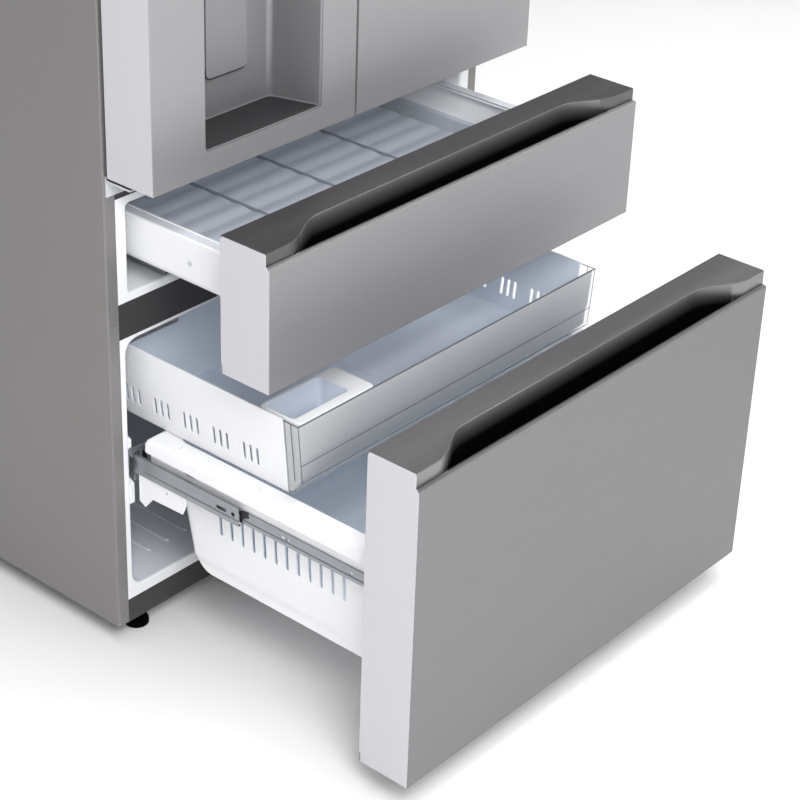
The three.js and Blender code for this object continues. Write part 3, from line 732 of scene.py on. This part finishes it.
def alcove_outline(grow, back_grow=0):
    a = ALCOVE
    front = DOOR_FRONT + 0.6
    corners = [
        (a["left"] + 2 - grow, front), (a["left"] + 2 - grow, a["back"] + grow),
        (a["right"] - a["lean"] - 2 + grow, a["back"] + grow), (a["right"] - 2 + grow, front),
    ]
    return filleted(corners, (0, 7, 12, 0))


def dispenser():
    """The recess in the left door with its bead and drip tray, and the paddle at its back."""
    a = ALCOVE
    room = prism([(x, y if y > -105 else -120) for x, y in alcove_outline(0)], "z",
                 a["low"] + 2.5, a["high"] - 2.5)
    piece("dispenser_recess", "left_door", prism(alcove_outline(1.8), "z", a["low"] + 0.3, a["high"] - 0.3),
          SILVER, edge=0.5, cuts=[room], stands_for=["dispenser_housing"])
    bead = [(x, y if y > -105 else -120) for x, y in alcove_outline(-2.6)]
    piece("recess_bead", "left_door", prism(alcove_outline(0.5), "z", a["low"] + 2, a["low"] + 6),
          SILVER, edge=1.2, cuts=[prism(bead, "z", a["low"], a["low"] + 9)])
    tray = [(x, max(y, DOOR_FRONT + 3)) for x, y in alcove_outline(-2.4)]
    piece("drip_tray", "left_door", slab(tray, "z", a["low"] + 2.6, a["low"] + 4.6, 0.6),
          DARK_FLOOR)
    paddle = node_box("dispenser_paddle")
    front, back = paddle[0].y - CASE_Y, paddle[1].y - CASE_Y
    outline = rounded(paddle[0].x, paddle[1].x, paddle[0].z, paddle[1].z, 9)
    piece("ice_paddle", "paddle", slab(outline, "y", front, back, 1.0), SILVER,
          stands_for=["dispenser_paddle"])
    # A black strip behind the paddle's lower edge: painted shade for the dark gap under the paddle.
    gap = rounded(paddle[0].x - 1, paddle[1].x + 0.4, paddle[0].z - 2.4, paddle[0].z + 24, 11)
    piece("paddle_gap", "paddle", prism(gap, "y", front + 1.2, front + 2), BLACK)
    rim = rounded(paddle[0].x - 1, paddle[1].x + 0.4, paddle[0].z - 4.2, paddle[0].z + 24, 12)
    piece("paddle_gap_rim", "paddle", prism(rim, "y", back - 0.8, back), SILVER, edge=0.3)


dispenser()


# ---------------- tubs and trays
def vessel(levels, wall, floor, lip=0.8):
    """An open tub. Its levels are (z, x half, front y, back y, corner radius), bottom to rim."""
    def ring(level, inset, z=None):
        height, half, front, back, corner = level
        return [(x, y, height if z is None else z) for x, y in rounded(
            -half + inset, half - inset, front + inset, back - inset, max(corner - inset, 1))]

    rim = levels[-1][0]
    outside = [ring(level, 0) for level in levels]
    inside = [ring(level, wall, max(level[0], levels[0][0] + floor)) for level in levels[::-1]]
    top = [ring(levels[-1], inset, rim + lip * 0.7) for inset in (lip * 0.3, wall - lip * 0.3)]
    return loft(outside + top + inside)


def heel(low, half, front, back, radius, draft, high, steps=5):
    """Levels of a tub whose floor turns up into its walls with a round heel."""
    levels = []
    for i in range(steps + 1):
        angle = math.radians(90 * i / steps)
        rise = radius * (1 - math.cos(angle))
        pull = draft + radius * (1 - math.sin(angle))
        levels.append((low + rise, half - pull, front + min(pull, 4), back - pull, radius))
    levels.append((high, half, front, back, radius))
    return levels


TRAY = {"half": 391, "front": -5.5, "back": 470, "low": 705, "high": 790}


def rib_field(reach, y0, y1, z, pitch, columns, height=2.2, gutter=4.5, middle=0):
    """Soft waves across a floor in columns, with a gutter between one column and the next."""
    rows = max(1, round((y1 - y0) / pitch))
    steps = 12 * rows

    def swell(share):
        return (0.5 - 0.5 * math.cos(2 * math.pi * rows * share)) ** 0.7

    crest = [
        (y0 + (y1 - y0) * i / steps, z + 0.6 + height * swell(i / steps)) for i in range(steps + 1)
    ]
    outline = [(y0, z - 0.4), *crest, (y1, z - 0.4)]
    width = 2 * reach / columns
    return merged(*[
        prism(outline, "x", *[
            middle - reach + (i + share) * width + (0.5 - share) * gutter for share in (0, 1)
        ])
        for i in range(columns)
    ])


def middle_tray():
    """The middle drawer's tray: walls, flange, a rim painted grey-blue as painted shade, bead, floor waves
    and gutters with dark strips of painted shade.
    """
    t = TRAY
    levels = heel(t["low"], t["half"], t["front"], t["back"], 16, 5, t["high"] - 4)
    body = vessel(levels, 3, 27)
    flange = loft([
        [(x, y, z) for x, y in rounded(-t["half"] - r, t["half"] + r, t["front"], t["back"], 12)]
        for z, r in ((t["high"] - 6, -2), (t["high"] - 4, 0), (t["high"] - 1.5, 0), (t["high"], -1.5))
    ])
    mouth = rounded(-t["half"] + 22, t["half"] - 22, t["front"] + 14, t["back"] - 22, 14)
    opening = prism(mouth, "z", t["low"] - 5, t["high"] + 10)
    inner = loft([
        [(x, y, z) for x, y in rounded(
            -t["half"] + r, t["half"] - r, t["front"] + 3 + r, t["back"] - r, 18)]
        for z, r in ((t["low"] + 26, 26), (t["high"] - 5, 8))
    ])

    def inside(x, y, z, n):
        level = n.z > 0.5
        low_enough = level and z < 760 or abs(n.z) < 0.9 and z < 785
        inward = n.x * x < -1 or n.y * (y - 230) < -1 or level
        return abs(x) < t["half"] - 8 and low_enough and inward

    # The tray's inside faces, dimples and floor waves get the painted shade colour.
    piece("tray_body", "middle_drawer", body, WHITE, joins=[flange],
          cuts=[opening, inner], stands_for=["middle_tray"], inner=(TRAY_PAINTED_SHADE, inside))
    # The rim cover is the tray's white plastic painted grey-blue: painted shade.
    cover = slab(rounded(-t["half"] + 3, t["half"] - 3, t["front"] + 2, t["back"] - 3, 12), "z",
                 t["high"] - 0.8, t["high"] + 0.5, 0.3)
    piece("tray_rim_cover", "middle_drawer", cover, RIM_PAINTED_SHADE, cuts=[opening])
    bead = rounded(-t["half"] + 19, t["half"] - 19, t["front"] + 11, t["back"] - 19, 16)
    piece("tray_bead", "middle_drawer", slab(bead, "z", t["high"] - 1, t["high"] + 1.4, 1), WHITE,
          cuts=[opening])
    for name, side in SIDES:
        dimple = lathe([(4.2, -0.6), (4, 0.5), (2.6, 0.9), (1.6, 0.2)],
                       (side * (t["half"] - 1.6), 120, 747), "x", 20)
        piece(f"{name}_tray_dimple", "middle_drawer", dimple, TRAY_PAINTED_SHADE)
    floor = t["low"] + 27
    ribs = rib_field(320, t["front"] + 30, t["back"] - 34, floor, 47, 4, gutter=9, middle=3)
    piece("tray_ribs", "middle_drawer", ribs, TRAY_PAINTED_SHADE)
    # Dark strips standing in the gutters: painted shade for the shade down in the grooves.
    for i in range(3):
        x = 3 + 160 * (i - 1)
        strip = slab(rounded(x - 3.4, x + 3.4, t["front"] + 30, t["back"] - 34, 1.5), "z",
                     floor - 0.5, floor + 3.1, 0.4)
        piece(f"tray_gutter_painted_shade_{i}", "middle_drawer", strip, GUTTER_PAINTED_SHADE)


TUB = {
    "half": 380, "front": -5.5, "back": 472, "low": 165, "rim": 403, "lean": 25, "reach": 410,
    "rim_back": 512, "heel": 35,
}


SLOTS = {"count": 12, "first": 96.5, "pitch": 24.7}
GROUPS = {"count": 5, "first": 113.7, "pitch": 67.5, "gap": 14.6}


def tub_levels():
    """The tub's outline from its round heel up to its rim; its back leans out."""
    t = TUB
    levels = []
    for i in range(7):
        angle = math.radians(15 * i)
        rise = t["heel"] * (1 - math.cos(angle))
        pull = t["heel"] * (1 - math.sin(angle))
        half = t["half"] - 9 - min(pull, 5)
        levels.append((t["low"] + rise, half, t["front"] + 2, t["back"] - t["lean"] - pull, 12 + i))
    levels.append((300, t["half"] - 3, t["front"], t["back"] - 9, 20))
    levels.append((t["rim"] - 2, t["half"], t["front"], t["back"], 22))
    return levels


def freezer_tub():
    """The freezer drawer's slotted tub and the wide collar that it hangs from."""
    t = TUB
    body = vessel(tub_levels(), 3, 3)
    rolled = ((-24, 0), (-9, 0.2), (-4, 2.4), (-1, 6), (0, 9))
    rim = loft([
        [(x, y, t["rim"] + drop) for x, y in rounded(
            -t["reach"] + r, t["reach"] - r, t["front"], t["rim_back"] - r, 7)]
        for drop, r in rolled
    ])
    hollow = t["reach"] - 2.6
    under = box(-hollow, hollow, t["front"] - 1, t["rim_back"] - 3, t["rim"] - 26, t["rim"] - 4)
    well = prism(
        rounded(-t["half"] + 9, t["half"] - 9, t["front"] + 4, t["back"] - 5, 14), "z", 300, 420)
    grooves = [
        side_box(side, 375.4, 376.8, 303, 454, t["rim"] - 0.8, t["rim"] + 1) for _, side in SIDES
    ]
    piece("tub_collar", "freezer_drawer", rim, WHITE, edge=0.4,
          cuts=[under, well, *grooves])
    for name, side in SIDES:
        for i, y in enumerate((36, 262, 440)):
            bump_shape = lathe([(7, -0.5), (6.6, 1.2), (4.5, 2.3), (0.5, 2.8)], (side * 389, y, t["rim"]))
            piece(f"{name}_rim_stop_{i}", "freezer_drawer", bump_shape, WHITE)
    slots = []
    for i in range(SLOTS["count"]):
        y = SLOTS["first"] + SLOTS["pitch"] * i
        for _, side in SIDES:
            x0, x1 = sorted((side * 360, side * 390))
            slots.append(prism(rounded(y - 3.4, y + 3.4, 263, 336, 3.3, 4), "x", x0, x1))

    def inside(x, y, z, n):
        within = abs(x) < t["half"] - 1.5 and t["front"] < y < t["back"]
        return within and (n.x * x < -1 or n.z > 0.3 or n.y * (y - 200) < -1)

    # The tub's inside faces and floor waves get the painted shade colour.
    piece("tub_body", "freezer_drawer", body, WHITE, edge=0.5, cuts=slots,
          stands_for=["freezer_tub"], inner=(TUB_PAINTED_SHADE, inside))
    ribs = rib_field(300, t["front"] + 40, t["back"] - 90, t["low"] + 3, 50, 2)
    piece("tub_floor_ribs", "freezer_drawer", ribs, TUB_PAINTED_SHADE)


BASKET = {
    "half": 383, "front": BASKET_FRONT_GAP, "back": 408, "low": 403.6, "high": 545, "wall": 3, "lean": 15,
}


def leaning(shape):
    """Narrows a shape towards the basket's floor as its side walls lean in."""
    b = BASKET
    pull = b["lean"] / b["half"] / (b["high"] - b["low"])
    return [(x * (1 - pull * (b["high"] - z)), y, z) for x, y, z in shape[0]], shape[1]


def basket_body():
    """Two side walls and a back on a floor, open at the front, with slots in groups of three."""
    b = BASKET
    levels = heel(b["low"], b["half"] - b["lean"] + 1, b["front"] - 40, b["back"], 4, 1, b["high"])
    levels[-1] = (b["high"], b["half"], *levels[-1][2:])
    body = vessel(levels, b["wall"], b["wall"])
    cuts = [box(-400, 400, -40, b["front"], 400, 560)]
    for _, side in SIDES:
        cuts.append(side_box(side, 244, 372, b["back"] - 12, b["back"] + 5, 527, 560))
    for group in range(GROUPS["count"]):
        for step in (-1, 0, 1):
            y = GROUPS["first"] + GROUPS["pitch"] * group + GROUPS["gap"] * step
            cuts.append(prism(rounded(y - 3.1, y + 3.1, 430, 463, 3, 4), "x", -400, 400))

    def inside(x, y, z, n):
        return n.x * x < -1 or n.z > 0.5 and z < 420 or n.y < -0.5 and y > b["back"] - 20

    # The basket's inside faces and floor waves get the painted shade colour.
    piece("basket_body", "basket", body, WHITE, edge=0.5, cuts=cuts,
          stands_for=["basket_tub"], inner=(BASKET_PAINTED_SHADE, inside))
    ribs = rib_field(338, b["front"] + 8, b["back"] - 30, b["low"] + 3, 62, 2, 1.8)
    piece("basket_floor_ribs", "basket", ribs, BASKET_PAINTED_SHADE)


def window_lines():
    """Dark bars on the clear front's edges: painted shade for the dark look the edges get because light
    leaves the sheet through them.
    """
    b = BASKET
    half, front = b["half"], 2.0
    bars = [
        ("top", box(-half, half, front, front + 1.4, 542.2, 543.4)),
        ("step", box(-half, half, front + 0.4, front + 1.4, 468.6, 469.6)),
        ("ledge", box(-half, half, front + 2.6, front + 3.6, 434.6, 435.6)),
    ]
    for name, side in SIDES:
        for i, y in enumerate((front, 18)):
            bars.append((f"{name}_corner_{i}", side_box(side, half - 1, half + 0.2, y, y + 1.2, 436, 543)))
        rim = side_box(side, half - 1.2, half + 0.2, front, b["front"], 542.2, 543.4)
        bars.append((f"{name}_rim", rim))
    for name, bar in bars:
        piece(f"window_{name}_edge", "basket", leaning(bar), CLEAR_EDGE_PAINTED_SHADE, edge=0.2)


def basket_window():
    """The clear front: an upper face, a step, and a lower face that slopes back to the floor."""
    b = BASKET
    front = [(2.2, 543), (2.2, 470), (4.5, 468), (4.5, 436), (8, 430), (26, 405)]
    back = [(b["front"] - 0.5, 405), (b["front"] - 0.5, 543)]
    shell = leaning(prism(front + back, "x", -b["half"], b["half"]))
    room = [(6, 550), (6, 472), (8.3, 469), (8.3, 438), (12, 433), (29, 409), (60, 409), (60, 550)]

    # The rim's top and the corner faces get the dark edge colour: painted shade.
    def rim_or_corner(x, y, z, normal):
        return normal.z > 0.9 and z > 540 or normal.y > 0.9 and abs(x) > b["half"] - 4

    piece("basket_front", "basket", shell, CLEAR, edge=0.8,
          cuts=[leaning(prism(room, "x", -b["half"] + 3, b["half"] - 3))],
          stands_for=["basket_window"], inner=(CLEAR_EDGE_PAINTED_SHADE, rim_or_corner))
    window_lines()


INSERT = {"x0": -372, "x1": -238, "y0": 9, "y1": 92, "low": 452, "high": 535, "rim": 543, "ledge": -200}


def basket_insert():
    """The frosted bin that hangs in the basket's front corner, and its white rim."""
    n = INSERT
    low, rim_z = n["low"], n["rim"]

    def ring(z, inset):
        return [(x, y, z) for x, y in rounded(
            n["x0"] + inset, n["x1"] - inset, n["y0"] + inset, n["y1"] - inset, 9)]

    levels = (
        (low, 6), (low + 3, 2), (n["high"], 0), (rim_z, 0), (rim_z, 2.5), (low + 5, 4), (low + 3, 8),
    )
    body = loft([ring(z, inset) for z, inset in levels])
    outline = rounded(n["x0"] - 2, n["ledge"], n["y0"] - 3.5, n["y1"] + 3, 10)
    rim = slab(outline, "z", rim_z - 4, rim_z + 0.5, 1.4)
    mouth = rounded(n["x0"] + 2.5, n["x1"] - 2.5, n["y0"] + 15, n["y1"] - 2.5, 7)
    hole = prism(mouth, "z", rim_z - 13, rim_z + 7)

    def bin_inside(x, y, z, normal):
        middle = (n["x0"] + n["x1"]) / 2
        inward = normal.z > 0.5 or normal.x * (x - middle) < -1 or normal.y * (y - 50) < -1
        return z < rim_z - 2 and inward

    # The bin's inside faces get the basket's painted shade colour.
    piece("insert_bin", "basket", body, FROSTED, stands_for=["basket_insert"],
          inner=(BASKET_PAINTED_SHADE, bin_inside))
    piece("insert_rim", "basket", rim, WHITE, cuts=[hole])


middle_tray()
freezer_tub()
basket_body()
basket_window()
basket_insert()


# ---------------- lower hinges
HINGE_ARM = (866.2, 874.6)


def lower_hinge(name, side):
    """A thin pale arm under the door's corner with a folded lip, and on it a black block, painted shade for
    the dark gap between the arm and the door's bottom.
    """
    low, high = node_box(f"{name}_lower_hinge")
    y0, y1 = low.y - CASE_Y, min(high.y - CASE_Y, -0.4)
    near, far = sorted((abs(low.x), abs(high.x)))
    under, over = HINGE_ARM
    arm = side_box(side, near + 14, far, y0, y1, under, under + 2)
    lip = side_box(side, far - 1.2, far, y0, y1, under, under + 3)
    web = side_box(side, near + 2, far, y1 - 2.5, y1, low.z, over)
    piece(f"{name}_hinge_bracket", "cabinet", arm, ZINC_BRIGHT, edge=0.4,
          joins=[lip, web], stands_for=[f"{name}_lower_hinge"])
    # A black block on the arm: painted shade under the door's corner.
    painted_shade_block = side_box(side, near + 15, far - 1.4, y0 + 1, y1 - 3, under + 2.4, over)
    piece(f"{name}_hinge_painted_shade_block", "cabinet", painted_shade_block, BLACK, edge=0.5)


for side_name, side in SIDES:
    lower_hinge(side_name, side)


# ---------------- rails
FREEZER_RAIL = {"fixed": (411, 417.7), "slide": (404.5, 410), "inner": (398, 403.5), "z": 346}
MIDDLE_RAIL = {"fixed": (318, 326.7), "inner": (305, 317), "z": 679}


def channel(side, reach, z, height, y0, y1, sheet=1.3):
    """A rolled steel channel along y whose flanges point to the middle of the refrigerator."""
    near, far = reach
    top, bottom = z + height / 2, z - height / 2
    ball = height * 0.26
    dip = (far - near) * 0.3
    outline = [
        (far, bottom), (near, bottom), (near, bottom + sheet * 2), (near + 0.6, bottom + sheet * 2),
        (near + 0.6, bottom + sheet), (far - sheet, bottom + sheet),
        (far - sheet, bottom + ball), (far - sheet - dip, bottom + ball + dip),
        (far - sheet - dip, top - ball - dip), (far - sheet, top - ball), (far - sheet, top - sheet),
        (near + 0.6, top - sheet), (near + 0.6, top - sheet * 2), (near, top - sheet * 2),
        (near, top), (far, top), (far, top - ball), (far - dip, top - ball - dip),
        (far - dip, bottom + ball + dip), (far, bottom + ball),
    ]
    return prism([(side * x, z) for x, z in outline], "y", y0, y1)


def hole(y, z, radius, long=0):
    """A tool for a round or long hole through a rail, from side to side of the refrigerator."""
    reach = radius + long
    outline = rounded(y - reach, y + reach, z - radius, z + radius, radius - 0.05, 5)
    return prism(outline, "x", -430, 430)


def rail_fittings(name, side, z):
    """The freezer rail's front bracket and stop, the slide's hanging plate and its end clip."""
    bracket = [
        (418, z + 17), (418, z + 29), (384, z + 29), (384, z + 22), (390, z + 20), (391, z - 38),
        (408, z - 34), (409, z + 8),
    ]
    passage = side_box(side, 396.9, 411.5, -4, 4, z - 20, z + 20.5)
    piece(f"{name}_rail_bracket", "cabinet", prism([(side * x, v) for x, v in bracket], "y", -1.6, 1.4),
          ZINC, edge=0.4, cuts=[passage])
    stop = [(388, z + 16), (382, z + 10), (378, z - 12), (382, z - 22), (388, z - 36)]
    piece(f"{name}_rail_stop", "cabinet", prism([(side * x, v) for x, v in stop], "y", -2.5, 9),
          BLACK, edge=0.5)
    travel = SHIFT["freezer_slides"] - CASE_Y
    near, far = FREEZER_RAIL["slide"]
    plate = [(-10, 0), (-10, -55), (-24, -62), (-42, -40), (-112, -38), (-121, -16), (-121, 0)]
    reach = sorted((side * near, side * (far - 2.5)))
    shape = prism([(y - travel, z - 15 + v) for y, v in plate], "x", *reach)
    piece(f"{name}_slide_plate", "freezer_slides", shape, WHITE, edge=0.6,
          cuts=[hole(-75 - travel, z - 29, 2.6)])
    clip = [(10, z + 13), (24, z + 12), (36, z + 2), (34, z - 9), (24, z - 12), (22, z - 2), (8, z + 4)]
    reach = sorted((side * (near - 2.8), side * (near - 0.3)))
    piece(f"{name}_slide_clip", "freezer_slides", prism(clip, "x", *reach), BLACK,
          edge=0.8)


def runner_hanger(name, side, z):
    """The pressed sheet that ties the drawer's inner rail to the rim of its tub."""
    sheet = side_box(side, 398.3, 399.8, 4, 505, z + 8, TUB["rim"] - 21)
    marks = [hole(480, z + 27, 3.4), hole(415, z + 22, 2.4, 9)]
    piece(f"{name}_runner_hanger", "freezer_drawer", sheet, WHITE, edge=0.4, cuts=marks)


def liner_bosses(name, side):
    """The raised blocks on the freezer liner's side wall that the fixed rail stands on."""
    upper = [(1, 392), (1, 376), (14, 370), (44, 378), (44, 394), (14, 398)]
    lower = [(1, 306), (1, 268), (26, 280), (70, 296), (70, 318), (20, 318)]
    for i, (outline, near) in enumerate(((upper, 411.2), (lower, 407))):
        reach = sorted((side * near, side * 418.4))
        piece(f"{name}_liner_boss_{i}", "cabinet", prism(outline, "x", *reach), LINER,
              edge=1.2)


# Each bar's name, body, reach in x, height, ends in y, holes as (y, radius, extra length), CAD node.
FREEZER_BARS = (
    ("freezer_rail_fixed", "cabinet", FREEZER_RAIL["fixed"], 44, 3, 468,
     ((18, 5, 0), (120, 4, 10), (300, 4, 10)), "freezer_rail"),
    ("freezer_rail_slide", "freezer_slides", FREEZER_RAIL["slide"], 34, 26, 466,
     ((40, 4, 0), (66, 3, 8)), "freezer_slide"),
    ("freezer_rail_inner", "freezer_drawer", FREEZER_RAIL["inner"], 24, -10.9, 430,
     ((60, 3, 0), (200, 3, 6)), "freezer_runner"),
)
MIDDLE_BARS = (
    ("middle_rail_fixed", "cabinet", MIDDLE_RAIL["fixed"], 34, 3, 460, ((16, 4, 0),), "middle_rail"),
    ("middle_rail_inner", "middle_drawer", MIDDLE_RAIL["inner"], 26, -5.5, 450,
     ((60, 3, 0),), "middle_runner"),
)


def rail_bars(side_name, side, z, bars):
    for name, body, reach, height, y0, y1, holes, node in bars:
        cuts = [hole(y, z, radius, extra) for y, radius, extra in holes]
        piece(f"{side_name}_{name}", body, channel(side, reach, z, height, y0, y1), ZINC,
              edge=0.3, cuts=cuts, stands_for=[f"{side_name}_{node}"])


def rails():
    """Both drawers' rails on both sides, with the freezer rail's fittings."""
    z = FREEZER_RAIL["z"]
    for name, side in SIDES:
        rail_bars(name, side, z, FREEZER_BARS)
        rail_fittings(name, side, z)
        runner_hanger(name, side, z)
        liner_bosses(name, side)
        rail_bars(name, side, MIDDLE_RAIL["z"], MIDDLE_BARS)


rails()


# ---------------- feet
def feet():
    """The front levelling feet: a fluted rubber pad on a threaded stem."""
    for name, side in SIDES:
        foot = node_box(f"{name}_foot")
        centre = ((foot[0].x + foot[1].x) / 2, (foot[0].y + foot[1].y) / 2 - CASE_Y, 0)
        profile = [(19, 0), (21.3, 1.5), (21.5, 9), (20, 12.5), (12, 13.5), (11, 19), (6, 19.5), (6, 34.7)]
        pad = lathe(profile, centre)
        flutes = [
            lathe([(1.6, -1), (1.6, 14)], (
                centre[0] + 22 * math.cos(math.radians(30 * i)),
                centre[1] + 22 * math.sin(math.radians(30 * i)), 0), sides=10)
            for i in range(12)
        ]
        piece(f"{name}_levelling_foot", "cabinet", pad, FOOT_RUBBER, edge=0.3, cuts=flutes,
              stands_for=[f"{name}_foot"])


feet()


# ---------------- CAD nodes that stay
def finish_cad_nodes():
    """Gives every CAD node that still shows its slot's finish and softened edges."""
    for entry in frame["record"]["subparts"]:
        node = frame["nodes"][entry["node"]]
        if not node.hide_render:
            node.data.materials.clear()
            node.data.materials.append(CAD_FINISH[entry["material_slot"]])
            ease_edges(node, 0.5)


finish_cad_nodes()


# ---------------- floor, light and camera
def studio():
    bpy.ops.mesh.primitive_plane_add(size=60)
    floor = bpy.context.object
    floor.name = "studio_floor"
    floor.data.materials.append(surface("studio_white", (0.9, 0.9, 0.9), 0.7, scale=4, change=0.005))
    sky()
    lights = (
        ("key", (-2.6, -3.2, 3.4), 2.6, 108),
        ("doors", (-1.2, -1.7, 2.2), 1.2, 24),
        ("front", (0.6, -4.2, 2.2), 2.4, 36),
        ("top", (0.2, -0.4, 4.8), 3.4, 95),
        ("rear", (0.5, 4.0, 2.8), 2.6, 55),
        ("right", (4.0, -0.6, 2.2), 2.4, 28),
        ("glint", (2.6, -0.9, 3.8), 1.2, 32),
    )
    target = Vector((0, -0.2, 0.6))
    for name, place, size, power in lights:
        data = bpy.data.lights.new(name, "AREA")
        data.shape = "DISK"
        data.size = size
        data.energy = power
        lamp = bpy.data.objects.new(name, data)
        lamp.visible_glossy = name == "glint"
        lamp.location = place
        lamp.rotation_euler = (target - Vector(place)).to_track_quat("-Z", "Y").to_euler()
        bpy.context.scene.collection.objects.link(lamp)


def sky():
    """A white studio whose ceiling is dim, so that level metal looks darker than upright metal."""
    world = bpy.data.worlds.new("studio")
    bpy.context.scene.world = world
    world.use_nodes = True
    tree = world.node_tree
    direction = tree.nodes.new("ShaderNodeTexCoord")
    split = tree.nodes.new("ShaderNodeSeparateXYZ")
    ramp = tree.nodes.new("ShaderNodeValToRGB")
    stops = ramp.color_ramp.elements
    stops[0].position, stops[0].color = 0.0, (0.95, 0.95, 0.96, 1)
    stops[1].position, stops[1].color = 0.75, (0.42, 0.42, 0.43, 1)
    dim = stops.new(0.3)
    dim.color = (0.17, 0.17, 0.175, 1)
    tree.links.new(direction.outputs["Generated"], split.inputs["Vector"])
    tree.links.new(split.outputs["Z"], ramp.inputs["Fac"])
    tree.links.new(ramp.outputs["Color"], tree.nodes["Background"].inputs["Color"])


CAMERA = {
    "place": (-2.5233, -2.3259 + CASE_Y * MM, 2.2691), "yaw": 0.876975, "pitch": -0.520560,
    "roll": 0.037541, "lens": 99.55, "sensor": 36,
}


def camera():
    """Looks down at the lower half from the front left, from above head height."""
    yaw, pitch, roll = CAMERA["yaw"], CAMERA["pitch"], CAMERA["roll"]
    forward = Vector((math.sin(yaw) * math.cos(pitch), math.cos(yaw) * math.cos(pitch), math.sin(pitch)))
    across = Vector((math.cos(yaw), -math.sin(yaw), 0))
    up = across.cross(forward)
    right = across * math.cos(roll) + up * math.sin(roll)
    over = up * math.cos(roll) - across * math.sin(roll)
    data = bpy.data.cameras.new("camera")
    data.lens = CAMERA["lens"]
    data.sensor_width = CAMERA["sensor"]
    view = bpy.data.objects.new("camera", data)
    turn = Matrix((right, over, -forward)).transposed()
    view.matrix_world = Matrix.Translation(CAMERA["place"]) @ turn.to_4x4()
    bpy.context.scene.collection.objects.link(view)
    bpy.context.scene.camera = view


studio()
camera()
bpy.context.scene.view_settings.view_transform = "Standard"
